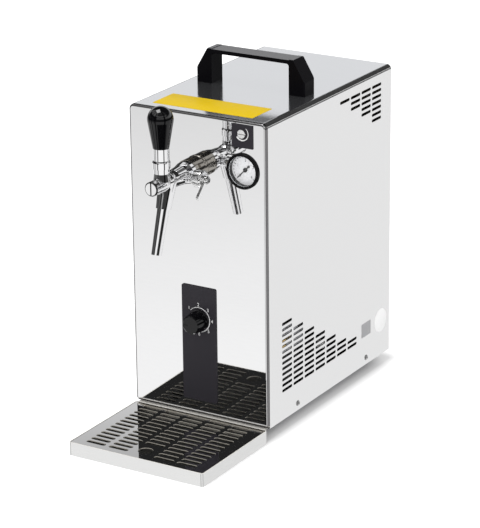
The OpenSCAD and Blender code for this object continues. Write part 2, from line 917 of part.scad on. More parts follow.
module thermostat_knob() {
    color("black") from_panel() outward(0, knob_z, knob_y) difference() {
        union() {
            cylinder(d1 = knob_d, d2 = knob_face_d, h = knob_l - knob_edge);
            translate([0, 0, knob_l - knob_edge])
                cylinder(d1 = knob_face_d, d2 = knob_face_d - 2 * knob_edge, h = knob_edge);
        }
        translate([0, 0, -cut])
            cylinder(d = shaft_d + 2 * seat_gap, h = knob_l / 2 + seat_gap + cut);
        rotate([0, 0, knob_rest_angle])
            translate([knob_face_d / 6, -knob_mark_w / 2, knob_l - knob_mark_deep])
                cube([knob_d, knob_mark_w, knob_mark_deep + cut]);
    }
}

module regulator_plate() {
    color("#242326") from_panel() difference() {
        upright(-plate_t, plate_t)
            translate([side_x - plate_s / 2, plate_z - plate_s / 2]) square(plate_s);
        inward(side_x, screw_z, -plate_t - cut)
            cylinder(d = stem_d + 2 * sheet_gap, h = plate_t + 2 * cut);
    }
}

module regulator_body() {
    color("goldenrod") from_panel() inward(side_x, screw_z, sheet_t)
        difference() {
            cylinder(d = regulator_d, h = regulator_l);
            translate([0, 0, -cut])
                cylinder(d = stem_d + 2 * fit_gap, h = regulator_l / 2 + cut);
        }
}

module regulator_screw() {
    color("silver") from_panel() {
        outward(side_x, screw_z, plate_t + sheet_gap) difference() {
            cylinder(d = screw_d, h = screw_out);
            translate([-screw_d, -screw_slot_w / 2, screw_out - screw_slot_deep])
                cube([2 * screw_d, screw_slot_w, screw_out]);
        }
        inward(side_x, screw_z, -plate_t - sheet_gap)
            cylinder(d = stem_d, h = plate_t + regulator_l / 3);
    }
}

// Pressure gauge

module gauge_case() {
    color("dimgray") from_panel() inward(side_x, gauge_z, case_y) difference() {
        union() {
            cylinder(d = case_d, h = gauge_deep);
            cylinder(d = gauge_stem_d, h = gauge_line_y - gauge_line_d / 2 - case_y);
        }
        translate([0, 0, -cut])
            cylinder(d = needle_shaft_d + 2 * fit_gap, h = gauge_deep / 2 + cut);
    }
}

module gauge_bezel() {
    color("black") from_panel() outward(side_x, gauge_z, 0) difference() {
        union() {
            cylinder(d = gauge_d, h = gauge_out - bezel_lip);
            translate([0, 0, gauge_out - bezel_lip])
                cylinder(d1 = gauge_d, d2 = gauge_d - 2 * bezel_lip, h = bezel_lip);
            translate([0, 0, -sleeve_l]) cylinder(d = case_d, h = sleeve_l + gauge_out / 2);
        }
        translate([0, 0, -sleeve_l - cut])
            cylinder(d = gauge_view_d, h = sleeve_l + gauge_out + 2 * cut);
    }
}

module gauge_dial() {
    color("white") from_panel() outward(side_x, gauge_z, -case_y)
        ring(case_d, needle_shaft_d + 2 * fit_gap, dial_t);
}

module gauge_lens() {
    color("lightblue", 0.3) from_panel() outward(side_x, gauge_z, lens_out - lens_t)
        cylinder(d = gauge_view_d - 2 * seat_gap, h = lens_t);
}

module gauge_needle() {
    color("black") from_panel() {
        outward(side_x, gauge_z, -needle_y) rotate([0, 0, needle_rest_angle]) {
            translate([-needle_tail, -needle_w / 2, 0])
                cube([needle_tail + needle_l, needle_w, needle_t]);
            translate([-needle_tail, 0, 0]) cylinder(d = needle_weight_d, h = needle_t);
            cylinder(d = needle_hub_d, h = needle_t);
        }
        inward(side_x, gauge_z, needle_y) cylinder(d = needle_shaft_d, h = gauge_deep / 2);
    }
}

// Tap

module tap_rosette() {
    color("silver") from_panel() outward(0, tap_z, 0)
        difference() {
            union() {
                cylinder(d = rosette_d, h = rosette_t / 2);
                translate([0, 0, rosette_t / 2])
                    cylinder(d1 = rosette_d, d2 = rosette_d - rosette_t, h = rosette_t / 2);
            }
            translate([0, 0, -cut])
                cylinder(d = shank_d + 2 * seat_gap, h = rosette_t + 2 * cut);
        }
}

module tap_shank() {
    color("silver") from_panel() outward(0, tap_z, -shank_in)
        ring(shank_d, bore_d, shank_in + shank_out);
}

module shank_nut() {
    color("goldenrod") from_panel() inward(0, tap_z, sheet_t) difference() {
        cylinder(d = nut_af / cos(30), h = nut_l, $fn = 6);
        translate([0, 0, -cut]) cylinder(d = shank_d + 2 * seat_gap, h = nut_l + 2 * cut);
    }
}

module tap_collar() {
    color("silver") from_panel() outward(0, tap_z, rosette_t + seat_gap) difference() {
        cylinder(d = collar_d, h = collar_l - seat_gap);
        translate([0, 0, -cut])
            cylinder(d = shank_d + 2 * seat_gap, h = collar_l - collar_lip - seat_gap + cut);
        cylinder(d = neck_d + 2 * seat_gap, h = collar_l + cut);
        for (i = [0:collar_slots - 1])
            rotate([0, 0, (i + 0.5) * 360 / collar_slots])
                translate([
                    collar_d / 2 - collar_slot_deep, -collar_slot_w / 2, collar_l - collar_slot_l
                ])
                    cube([collar_d, collar_slot_w, collar_slot_l + cut]);
    }
}

// Frame of the spout's leg: local Z runs up the tilted leg from its socket's mouth
module leg_frame() {
    translate([0, -leg_out, tap_z]) rotate([-spout_tilt, 0, 0])
        translate([0, 0, -leg_l]) children();
}

module tap_body() {
    color("silver") from_panel() difference() {
        union() {
            outward(0, tap_z, shank_out + seat_gap) cylinder(d = shank_d, h = body_head_l);
            outward(0, tap_z, shank_out + seat_gap)
                cylinder(d = neck_d, h = barrel_end - shank_out - seat_gap);
            outward(0, tap_z, barrel_out) cylinder(d = barrel_d, h = barrel_l);
            outward(0, tap_z, barrel_end) cylinder(d1 = barrel_d, d2 = shoulder_d, h = shoulder_l);
            outward(0, tap_z, shoulder_end) cylinder(d1 = shoulder_d, d2 = waist_d, h = waist_l);
            outward(0, tap_z, waist_end) cylinder(d1 = waist_d, d2 = nose_d, h = taper_l);
            outward(0, tap_z, barrel_end) cylinder(d = nose_d, h = nose_end - barrel_end);
            to_side(0) cylinder(d = comp_boss_d, h = comp_boss_l);
            to_side(0) cylinder(d = comp_neck_d, h = comp_neck_end);
            for (i = [0:comp_rings - 1])
                to_side(comp_boss_l + (i + 0.5) * comp_ring_step - comp_ring_l / 2)
                    cylinder(d = comp_ring_d, h = comp_ring_l);
            leg_frame() cylinder(d1 = socket_d, d2 = leg_top_d, h = leg_l);
            leg_frame() translate([0, 0, leg_l]) sphere(d = leg_top_d);
            translate([0, -lever_y, tap_z])
                cylinder(d = neck_up_d, h = pivot_up + neck_top);
            translate([0, -lever_y, tap_z + neck_flare_up])
                cylinder(d1 = neck_flare_d, d2 = neck_up_d, h = neck_flare_l);
        }
        outward(0, tap_z, 0) cylinder(d = bore_d, h = lever_y);
        outward(0, tap_z, lever_y - chamber_back) cylinder(d = chamber_d, h = cap_y);
        to_side(bore_d / 4) cylinder(d = comp_stem_d + 2 * fit_gap, h = comp_in);
        leg_frame() translate([0, 0, -cut])
            cylinder(d = spout_top_d + 2 * seat_gap, h = socket_deep + cut);
        leg_frame() cylinder(d = spout_bore_d, h = leg_l);
        translate([0, -lever_y, pivot_z]) {
            sphere(d = ball_d + 2 * fit_gap);
            sideways(-finger_pin_d / 2 - sheet_gap, finger_pin_d + 2 * sheet_gap)
                lever_swing(pivot_up);
        }
    }
}

// Side view of the space that the lever's finger sweeps, down from the pivot
module lever_swing(deep) {
    half = finger_pin_d / 2 / cos(swing) + sheet_gap;
    reach = deep * tan(swing) + half;
    polygon([[-half, 0], [half, 0], [reach, -deep], [-reach, -deep]]);
}

module tap_cap() {
    color("silver") from_panel() outward(0, tap_z, nose_end + seat_gap) difference() {
        union() {
            cylinder(d = cap_d, h = cap_l - seat_gap - cap_edge);
            translate([0, 0, cap_l - seat_gap - cap_edge])
                cylinder(d1 = cap_d, d2 = cap_d - 2 * cap_edge, h = cap_edge);
        }
        translate([0, 0, -cut]) cylinder(d = chamber_d, h = cap_pocket + cut);
        translate([-cap_slot_w / 2, -cap_d, cap_l - seat_gap - cap_slot_deep])
            cube([cap_slot_w, 2 * cap_d, cap_slot_deep + cut]);
    }
}

module tap_spout() {
    seat = socket_deep - seat_gap;
    top_r = spout_top_d / 2;
    tip_r = spout_d / 2;
    color("silver") from_panel() leg_frame() rotate_extrude() polygon([
        [tip_r - spout_wall, -spout_l], [tip_r, -spout_l], [top_r, 0], [top_r, seat],
        [top_r - spout_wall, seat], [top_r - spout_wall, 0]
    ]);
}

module lever_nut() {
    dome_h = 2 * nut_dome_r;
    color("silver") from_panel() translate([0, -lever_y, pivot_z]) difference() {
        intersection() {
            translate([0, 0, nut_bottom]) cylinder(d = lever_nut_d, h = dome_h);
            sphere(r = nut_dome_r);
        }
        sphere(d = ball_d + 2 * fit_gap);
        translate([0, 0, nut_bottom - cut])
            cylinder(d = ball_d + 2 * fit_gap, h = cut - nut_bottom);
        cylinder(d1 = 0, d2 = 2 * dome_h * tan(open_angle), h = dome_h);
    }
}

module tap_lever() {
    color("silver") from_panel() translate([0, -lever_y, pivot_z]) {
        sphere(d = ball_d);
        cylinder(d = lever_stem_d, h = skirt_r + cut);
        translate([0, 0, -pivot_up - finger_over])
            cylinder(d = finger_pin_d, h = pivot_up + finger_over);
        difference() {
            cylinder(d = ferrule_d, h = ferrule_up);
            sphere(r = skirt_r);
        }
        translate([0, 0, ferrule_up - cut]) cylinder(d = stud_d, h = stud_l + cut);
    }
}

module tap_knob() {
    color("black") from_panel() translate([0, -lever_y, pivot_z + ferrule_up]) difference() {
        union() {
            cylinder(
                r1 = ferrule_d / 2,
                r2 = grip_r * cos(grip_taper),
                h = grip_c - grip_r * sin(grip_taper)
            );
            translate([0, 0, grip_c]) sphere(r = grip_r);
        }
        translate([0, 0, -cut]) cylinder(d = stud_d + 2 * seat_gap, h = stud_l + seat_gap + cut);
    }
}

module tap_plunger() {
    front = lever_y + plunger_slot + plunger_front;
    length = 2 * plunger_slot + plunger_front + plunger_rear;
    color("lightgray") from_panel() difference() {
        outward(0, tap_z, front - length) cylinder(d = plunger_d, h = length);
        translate([
            -finger_pin_d / 2 - sheet_gap, -lever_y - plunger_slot, tap_z - plunger_d / 2 + cut
        ])
            cube([finger_pin_d + 2 * sheet_gap, 2 * plunger_slot, plunger_d]);
    }
}

// Flow compensator on the tap's side

module compensator_knob() {
    color("silver") from_panel() {
        to_side(comp_in) {
            cylinder(d1 = comp_d - 2 * comp_bevel, d2 = comp_d, h = comp_bevel);
            translate([0, 0, comp_bevel])
                cylinder(d = comp_d, h = comp_l - comp_bevel - comp_edge_r);
            translate([0, 0, comp_l - comp_edge_r]) rotate_extrude() {
                square([comp_d / 2 - comp_edge_r, comp_edge_r]);
                intersection() {
                    translate([comp_d / 2 - comp_edge_r, 0]) circle(comp_edge_r);
                    square([comp_d / 2, comp_edge_r]);
                }
            }
        }
        to_side(comp_stem_in) cylinder(d = comp_stem_d, h = comp_in - comp_stem_in + cut);
        to_side(comp_end) cylinder(d = comp_hub_d, h = comp_hub_l);
        to_side(comp_end) cylinder(d = comp_spigot_d, h = comp_hub_l + comp_lever_t + comp_cap_l);
        to_side(comp_end + comp_hub_l + comp_lever_t + seat_gap)
            cylinder(d1 = comp_hub_d, d2 = comp_spigot_d, h = comp_cap_l);
    }
}

module compensator_lever() {
    eye_d = comp_spigot_d + 2 * seat_gap;
    color("silver") from_panel() translate([comp_end + comp_hub_l, -comp_y, tap_z])
        rotate([180 + comp_lever_slope, 0, 0]) sideways(0, comp_lever_t) difference() {
            union() {
                circle(d = comp_hub_d);
                translate([0, -comp_lever_w / 2])
                    square([comp_lever_l - comp_lever_w / 2, comp_lever_w]);
                translate([comp_lever_l - comp_lever_w / 2, 0]) circle(d = comp_lever_w);
            }
            circle(d = eye_d);
        }
}

module compensator_cone() {
    guide_d = bore_d - 2 * cone_gap;
    color("white") from_panel() outward(0, tap_z, cone_out - cone_l) {
        cylinder(d = guide_d, h = cone_guide_l);
        cylinder(d1 = cone_tip_d, d2 = guide_d, h = cone_l - cone_head_l);
        translate([0, 0, cone_l - cone_head_l]) cylinder(d = guide_d, h = cone_head_l);
    }
}

// Drip tray and its grid

module drip_tray() {
    inner_w = tray_w - 2 * tray_t;
    inner_d = tray_reach - tray_back - 2 * tray_t;
    color("gainsboro") from_panel() {
        translate([0, -tray_reach, 0]) difference() {
            linear_extrude(tray_h) rounded(tray_w, tray_reach - tray_back, tray_corner_r);
            translate([0, tray_t, tray_t])
                linear_extrude(tray_h) rounded(inner_w, inner_d, tray_corner_r - tray_t);
        }
        translate([-tray_lip_w / 2, -tray_back - tray_t / 2, tray_h - tray_t])
            cube([tray_lip_w, tray_back + tray_t / 2 + tray_tuck, tray_t]);
    }
}

module drip_grid() {
    skirt_z = tray_t + grid_stand;
    corner = tray_corner_r - tray_t;
    color("silver") from_panel() difference() {
        translate([0, grid_front, skirt_z])
            linear_extrude(grid_top - skirt_z) rounded(grid_w, grid_d, corner);
        translate([0, grid_front + tray_t, skirt_z - cut])
            linear_extrude(grid_top - skirt_z - tray_t + cut)
                rounded(grid_w - 2 * tray_t, grid_d - 2 * tray_t, corner - tray_t / 2);
        linear_extrude(2 * tray_h) {
            for (i = [0:grid_columns - 1])
                for (j = [0:grid_rows - 1])
                    if (i != (grid_columns - 1) / 2 || j < grid_rows - finger_rows)
                        translate([
                            (i - (grid_columns - 1) / 2) * grid_pitch_x - grid_slot_l / 2,
                            -grid_last_y - j * grid_pitch_y
                        ])
                            slot(grid_slot_l, grid_slot_w);
            translate([0, finger_y]) circle(d = finger_d);
        }
    }
}

// Cooling equipment inside the cabinet

module shelf() {
    color("silver") from_panel() difference() {
        union() {
            translate([-shelf_w / 2, sheet_t, shelf_z])
                cube([shelf_w, rear_in_y - sheet_t, sheet_t]);
            for (y = [sheet_t, rear_in_y - sheet_t])
                translate([-shelf_w / 2, y, shelf_z - shelf_flange_h])
                    cube([shelf_w, sheet_t, shelf_flange_h]);
        }
        translate([beer_x, beer_in_y, shelf_z - cut])
            cylinder(d = line_d + 2 * seat_gap, h = sheet_t + 2 * cut);
        translate([side_x, gauge_line_y, shelf_z - cut])
            cylinder(d = gauge_line_d + 2 * seat_gap, h = sheet_t + 2 * cut);
    }
}

module block_foam() {
    color("khaki") from_panel() difference() {
        translate([foam_x, shank_in, shelf_top]) cube([foam_w, foam_d, foam_h]);
        translate([foam_x + foam_wall, shank_in + foam_wall, shelf_top - cut])
            cube([foam_w - 2 * foam_wall, foam_d - 2 * foam_wall, foam_h - foam_wall + cut]);
    }
}

module cooling_block() {
    color("lightgray") from_panel() translate([
        foam_x + foam_wall + seat_gap, shank_in + foam_wall + seat_gap, shelf_top
    ])
        cube([
            foam_w - 2 * (foam_wall + seat_gap),
            foam_d - 2 * (foam_wall + seat_gap),
            foam_h - foam_wall - seat_gap
        ]);
}

module compressor() {
    dome_up = sqrt(shell_dome_r * shell_dome_r - compressor_r * compressor_r);
    foot_s = 2 * mount_step + mount_d;
    color("#222222") from_panel() translate([compressor_x, compressor_y, compressor_foot]) {
        translate([-foot_s / 2, -foot_s / 2, 0]) cube([foot_s, foot_s, compressor_foot_t]);
        cylinder(r = compressor_r, h = compressor_foot_t + shell_low_h + shell_seam_h + shell_up_h);
        translate([0, 0, compressor_foot_t + shell_low_h])
            cylinder(r = compressor_r + shell_seam_out, h = shell_seam_h);
        translate([0, 0, compressor_foot_t + shell_low_h + shell_seam_h + shell_up_h]) intersection() {
            translate([0, 0, -dome_up]) sphere(r = shell_dome_r);
            cylinder(r = compressor_r, h = shell_dome_r);
        }
    }
}

module compressor_mounts() {
    color("#333333") from_panel()
        for (x = [-mount_step, mount_step])
            for (y = [-mount_step, mount_step])
                translate([compressor_x + x, compressor_y + y, floor_z])
                    cylinder(d = mount_d, h = mount_h);
}

module condenser() {
    step = (condenser_w - fin_t) / (condenser_fins - 1);
    color("silver") from_panel() translate([0, fan_front - condenser_d, shelf_top]) {
        for (i = [0:condenser_fins - 1])
            translate([-condenser_w / 2 + i * step, 0, 0])
                cube([fin_t, condenser_d, condenser_h]);
        for (i = [0:tube_columns - 1])
            for (j = [0:tube_rows - 1])
                translate([
                    -condenser_w / 2,
                    condenser_d * (i + 0.5) / tube_columns,
                    condenser_h * (j + 0.5) / tube_rows
                ])
                    rotate([0, 90, 0]) cylinder(d = tube_d, h = condenser_w);
    }
}

module fan_frame() {
    color("#1c1c1c") from_panel() inward(0, fan_z, fan_front) {
        difference() {
            translate([-fan_s / 2, -fan_s / 2, 0]) cube([fan_s, fan_s, fan_d]);
            translate([0, 0, -cut]) cylinder(d = fan_hole_d, h = fan_d + 2 * cut);
        }
        cylinder(d = motor_d, h = strut_t);
        for (i = [0:3])
            rotate([0, 0, 45 + 90 * i]) translate([0, -strut_w / 2, 0])
                cube([fan_hole_d / 2 + strut_t, strut_w, strut_t]);
    }
}

module fan_motor() {
    color("dimgray") from_panel() inward(0, fan_z, fan_front + strut_t) difference() {
        cylinder(d = motor_d, h = motor_l);
        translate([0, 0, motor_l / 3])
            cylinder(d = rotor_shaft_d + 2 * fit_gap, h = motor_l);
    }
}

module fan_rotor() {
    cup_d = motor_d + 2 * (rotor_gap + rotor_wall);
    blade_r = fan_hole_d / 2 - tip_gap;
    color("#2a2a2a") from_panel() inward(0, fan_z, fan_front + rotor_in) {
        difference() {
            cylinder(d = cup_d, h = rotor_l);
            translate([0, 0, -cut])
                cylinder(d = motor_d + 2 * rotor_gap, h = rotor_l - rotor_wall + cut);
        }
        translate([0, 0, strut_t]) cylinder(d = rotor_shaft_d, h = rotor_l - strut_t);
        intersection() {
            ring(2 * blade_r, cup_d - rotor_wall, rotor_l);
            for (i = [0:blade_count - 1])
                rotate([0, 0, i * 360 / blade_count]) translate([0, 0, rotor_l / 2])
                    rotate([90 - blade_pitch, 0, 0])
                        translate([cup_d / 2 - rotor_wall / 2, -rotor_l, -blade_t / 2])
                            cube([blade_r, 2 * rotor_l, blade_t]);
        }
    }
}

module air_pump() {
    color("gray") from_panel() {
        translate([pump_x, pump_y, pump_z]) cube([pump_w, pump_d, pump_h]);
        inward(pump_mid_x, pump_motor_z, pump_y + pump_d - cut)
            cylinder(d = pump_motor_d, h = pump_motor_l + cut);
    }
}

module pump_bracket() {
    color("silver") from_panel() translate([pump_x, pump_y, floor_z]) difference() {
        cube([pump_w, bracket_d, pump_z - floor_z]);
        translate([sheet_t, -cut, -cut])
            cube([pump_w - 2 * sheet_t, bracket_d + 2 * cut, pump_z - floor_z - sheet_t + cut]);
    }
}

module air_filter() {
    motor_end = pump_y + pump_d + pump_motor_l;
    color("white") from_panel() {
        inward(filter_x, filter_z + filter_neck_up, motor_end)
            cylinder(d = filter_neck_d, h = filter_y - motor_end);
        translate([filter_x, filter_y, filter_z]) {
            sphere(d = filter_d);
            cylinder(d = filter_neck_d, h = filter_neck_up);
            translate([0, 0, filter_neck_up]) sphere(d = filter_neck_d);
        }
    }
}

module air_elbow() {
    color("goldenrod") from_panel() translate([pump_x + pump_w, elbow_y, elbow_z]) {
        rotate([0, 90, 0]) cylinder(d = elbow_d, h = elbow_l, $fn = 6);
        translate([elbow_l / 2, 0, 0]) rotate([-90, 0, 0])
            cylinder(d = elbow_stem_d, h = elbow_stem_l);
    }
}

module beer_line() {
    color("white") from_panel() difference() {
        beer_path(line_d);
        beer_path(line_d - 2 * line_wall);
    }
}

module air_line() {
    start = pump_y + pump_d;
    color("white") from_panel() inward(air_x, inlet_z, start)
        ring(air_d, air_d - 2 * line_wall, rear_in_y - fitting_stub_l - start);
}

module gauge_path(d) {
    low = pump_z + pump_h;
    translate([side_x, gauge_line_y, low]) cylinder(d = d, h = screw_z - bend_r - low);
    translate([side_x, gauge_line_y - bend_r, screw_z - bend_r]) quarter_bend(d, 0);
}

module gauge_line() {
    color("white") from_panel() difference() {
        gauge_path(gauge_line_d);
        gauge_path(gauge_line_d - 2 * line_wall);
    }
}

// Fittings on the rear panel

// Push-fit fitting: a stub through the panel, a flange and a nose with the tube's bore
module push_fitting(tube) {
    difference() {
        union() {
            translate([0, 0, -sheet_t - fitting_stub_l])
                cylinder(d = fitting_stub_d, h = sheet_t + fitting_stub_l + fitting_l);
            cylinder(d = fitting_d / cos(30), h = fitting_flange_t, $fn = 6);
            cylinder(d = fitting_nose_d, h = fitting_l - fitting_tip_l);
        }
        translate([0, 0, fitting_l - push_depth])
            cylinder(d = tube + 2 * seat_gap, h = push_depth + cut);
        translate([0, 0, -sheet_t - fitting_stub_l - cut])
            cylinder(d = tube - 2 * line_wall, h = fitting_l + fitting_stub_l);
    }
}

module beer_inlet() {
    color("#2f2f33") from_panel() inward(beer_x, inlet_z, rear_y) push_fitting(line_d);
}

module air_outlet() {
    color("#2f2f33") from_panel() inward(air_x, inlet_z, rear_y) push_fitting(air_d);
}

module cable_gland() {
    color("#1f1f1f") from_panel() inward(0, gland_z, rear_y) difference() {
        union() {
            translate([0, 0, -sheet_t - gland_stub_l])
                cylinder(d = gland_stub_d, h = sheet_t + gland_stub_l + cut);
            cylinder(d = gland_d / cos(30), h = gland_nut_l, $fn = 6);
            cylinder(d1 = gland_dome_d, d2 = gland_tip_d, h = gland_l);
        }
        translate([0, 0, -sheet_t - gland_l])
            cylinder(d = cord_d + 2 * seat_gap, h = 3 * gland_l);
    }
}

module switch_frame() {
    color("#1f1f1f") from_panel() difference() {
        union() {
            upright(rear_y, switch_rim_t) translate([0, inlet_z - switch_h / 2 - switch_rim])
                rounded(switch_w + 2 * switch_rim, switch_h + 2 * switch_rim, switch_corner_r);
            translate([-switch_w / 2, rear_in_y - switch_deep, inlet_z - switch_h / 2])
                cube([switch_w, switch_deep + sheet_t + switch_rim_t / 2, switch_h]);
        }
        translate([
            -switch_w / 2 + switch_wall,
            rear_in_y - switch_deep + switch_wall,
            inlet_z - switch_h / 2 + switch_wall / 2
        ])
            cube([
                switch_w - 2 * switch_wall,
                switch_deep + sheet_t + switch_rim_t,
                switch_h - switch_wall
            ]);
    }
}

module switch_rocker() {
    width = switch_w - 2 * (switch_wall + sheet_gap);
    color("#b3261e") from_panel() translate([0, rear_y, inlet_z]) rotate([rocker_tilt, 0, 0])
        sideways(-width / 2, width) {
            circle(rocker_hub_r);
            polygon([
                [0, -rocker_half], [rocker_out, -rocker_half], [rocker_out - rocker_dip, 0],
                [rocker_out, rocker_half], [0, rocker_half]
            ]);
        }
}

base_pan();
feet();
front_panel();
cover();
rear_panel();
cover_screws();
carry_handle();
handle_screws();
control_fascia();
thermostat();
thermostat_shaft();
thermostat_knob();
regulator_plate();
regulator_body();
regulator_screw();
gauge_case();
gauge_bezel();
gauge_dial();
gauge_lens();
gauge_needle();
tap_rosette();
tap_shank();
shank_nut();
tap_collar();
tap_body();
tap_cap();
tap_spout();
lever_nut();
tap_lever();
tap_knob();
tap_plunger();
compensator_knob();
compensator_lever();
compensator_cone();
drip_tray();
drip_grid();
shelf();
block_foam();
cooling_block();
compressor();
compressor_mounts();
condenser();
fan_frame();
fan_motor();
fan_rotor();
air_pump();
pump_bracket();
air_filter();
air_elbow();
beer_line();
air_line();
gauge_line();
beer_inlet();
air_outlet();
cable_gland();
switch_frame();
switch_rocker();
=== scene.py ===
import math

import bpy
from mathutils import Matrix, Vector


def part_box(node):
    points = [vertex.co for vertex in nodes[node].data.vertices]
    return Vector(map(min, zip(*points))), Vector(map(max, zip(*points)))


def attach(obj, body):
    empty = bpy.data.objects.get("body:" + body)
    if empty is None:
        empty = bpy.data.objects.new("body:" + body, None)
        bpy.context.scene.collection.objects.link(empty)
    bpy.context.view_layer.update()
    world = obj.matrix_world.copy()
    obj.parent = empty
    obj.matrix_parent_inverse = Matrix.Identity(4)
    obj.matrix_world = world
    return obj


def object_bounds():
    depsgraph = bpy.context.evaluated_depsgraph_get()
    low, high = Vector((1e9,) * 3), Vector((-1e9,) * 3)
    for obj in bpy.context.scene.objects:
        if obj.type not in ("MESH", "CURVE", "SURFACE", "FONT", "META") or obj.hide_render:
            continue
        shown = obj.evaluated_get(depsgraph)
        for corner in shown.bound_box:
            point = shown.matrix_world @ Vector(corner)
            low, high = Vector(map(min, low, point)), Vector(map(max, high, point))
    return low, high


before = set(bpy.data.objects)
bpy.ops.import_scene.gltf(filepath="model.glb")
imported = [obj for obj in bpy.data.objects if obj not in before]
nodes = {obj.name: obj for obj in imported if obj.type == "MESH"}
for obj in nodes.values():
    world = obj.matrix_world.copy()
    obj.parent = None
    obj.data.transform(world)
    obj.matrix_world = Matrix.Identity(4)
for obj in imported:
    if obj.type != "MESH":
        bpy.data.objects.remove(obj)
cadLow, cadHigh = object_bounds()
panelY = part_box("front_panel")[0].y  # the polished front's plane
print("frame loaded:", len(nodes), "nodes")

mm = 0.001  # metres


def clearSelection():
    if bpy.context.object and bpy.context.object.mode != "OBJECT":
        bpy.ops.object.mode_set(mode="OBJECT")
    bpy.ops.object.select_all(action="DESELECT")


# camera at the photograph's place

cameraSettings = {
    "azimuth": 31.405,  # degrees round from the front
    "elevation": 19.4987,
    "roll": -0.6603,
    "distance": 2.8633,  # metres from the front panel's foot
    "aside": 0.04365,  # the camera's own steps to the right and up
    "above": 0.16734,
    "baseHeight": 0.01862,
    "lens": 173.47,
    "sensor": 36.0,
    "farEnd": 100.0,
}


def makeCamera(s):
    a, e, r = (math.radians(s[k]) for k in ("azimuth", "elevation", "roll"))
    back = Vector((math.sin(a) * math.cos(e), -math.cos(a) * math.cos(e), math.sin(e)))
    level = Vector((math.cos(a), math.sin(a), 0))
    rise = back.cross(level)
    right = math.cos(r) * level + math.sin(r) * rise
    up = -math.sin(r) * level + math.cos(r) * rise
    clearSelection()
    bpy.ops.object.camera_add()
    camera = bpy.context.object
    camera.name = "photoCamera"
    turn = Matrix((right, up, back)).transposed().to_4x4()
    target = Vector((0, panelY, s["baseHeight"]))
    place = target + back * s["distance"] + right * s["aside"] + up * s["above"]
    camera.matrix_world = Matrix.Translation(place) @ turn
    camera.data.lens = s["lens"]
    camera.data.sensor_width = s["sensor"]
    camera.data.clip_end = s["farEnd"]
    bpy.context.scene.camera = camera


# white studio: plain white to the camera, even light on matt surfaces, and in reflections
# a room that goes from bright to dark by height and by compass angle

worldSettings = {
    "ambient": 0.80,  # even light on diffuse surfaces
    # brightness by the height of a reflected ray: left front, near the camera, back
    "leftColumn": (
        (-1.0, 1.0), (-0.39, 1.0), (-0.334, 0.945), (-0.279, 0.8), (-0.2, 0.52), (-0.1, 0.11),
        (0.24, 0.08), (0.29, 0.02), (0.5, 0.02), (0.56, 0.8), (0.8, 0.8), (1.0, 0.25),
    ),
    "keyColumn": (
        (-1.0, 0.1), (-0.66, 0.03), (-0.545, 0.03), (-0.52, 0.96), (-0.16, 0.97), (-0.13, 0.04),
        (0.12, 0.04), (0.15, 0.95), (0.36, 0.95), (0.38, 0.05), (0.47, 0.05), (0.5, 0.95),
        (0.58, 0.95), (0.64, 0.1), (1.0, 0.2),
    ),
    "backColumn": (
        (-1.0, 0.89), (-0.13, 0.89), (-0.1, 0.05), (0.1, 0.05), (0.13, 0.86), (0.36, 0.82),
        (0.46, 0.03), (1.0, 0.02),
    ),
    # by compass angle: the left front's dark screens, the camera side, the back, a dark stripe
    "leftRing": (
        (-180, 0.9), (-174, 0.9), (-172, 0.06), (-166, 0.06), (-164, 0.9), (-146, 0.9),
        (-145, 0.04), (-139, 0.04), (-138, 1), (-113, 1), (-110, 0.06), (-101, 0.06), (-98, 1),
        (180, 0.9),
    ),
    "keyRing": ((-180, 0), (-95, 0), (-86, 1), (0, 1), (20, 0), (180, 0)),
    "backRing": ((-180, 0), (-5, 0), (20, 1), (165, 1), (175, 0), (180, 0)),
    "stripe": ((-180, 1), (-26, 1), (-25, 0.04), (-12, 0.04), (-9, 1), (180, 1)),
}


def makeRamp(tree, source, stops, low, high):
    # grey by a value between low and high
    span = tree.nodes.new("ShaderNodeMapRange")
    span.inputs["From Min"].default_value = low
    span.inputs["From Max"].default_value = high
    ramp = tree.nodes.new("ShaderNodeValToRGB")
    marks = ramp.color_ramp.elements
    for place, _ in stops[1:-1]:
        marks.new((place - low) / (high - low))
    for mark, (_, value) in zip(marks, stops):
        mark.color = (value, value, value, 1)
    tree.links.new(source, span.inputs["Value"])
    tree.links.new(span.outputs["Result"], ramp.inputs["Fac"])
    return ramp.outputs["Color"]


def setEntry(tree, entry, value):
    # links a socket or writes a plain value
    if isinstance(value, bpy.types.NodeSocket):
        tree.links.new(value, entry)
    else:
        entry.default_value = value


def openSockets(node):
    return [p for p in node.inputs if p.enabled], [p for p in node.outputs if p.enabled][0]


def mixValues(tree, kind, mask, first, second):
    node = tree.nodes.new("ShaderNodeMix")
    node.data_type = kind
    (factor, a, b), result = openSockets(node)
    for entry, value in ((factor, mask), (a, first), (b, second)):
        setEntry(tree, entry, value)
    return result


def doMath(tree, operation, *values):
    node = tree.nodes.new("ShaderNodeMath")
    node.operation = operation
    for entry, value in zip(node.inputs, values):
        setEntry(tree, entry, value)
    return node.outputs["Value"]


def flatReach(tree, across, along):
    # distance by two offsets at right angles
    squares = [doMath(tree, "MULTIPLY", part, part) for part in (across, along)]
    return doMath(tree, "SQRT", doMath(tree, "ADD", *squares))


def splitVector(tree, source):
    split = tree.nodes.new("ShaderNodeSeparateXYZ")
    tree.links.new(source, split.inputs["Vector"])
    return split.outputs


def objectPlace(tree):
    return splitVector(tree, tree.nodes.new("ShaderNodeTexCoord").outputs["Object"])


def faceLean(tree):
    # 1 on a face that looks up, 0 on an upright one
    return splitVector(tree, tree.nodes.new("ShaderNodeNewGeometry").outputs["Normal"])[2]


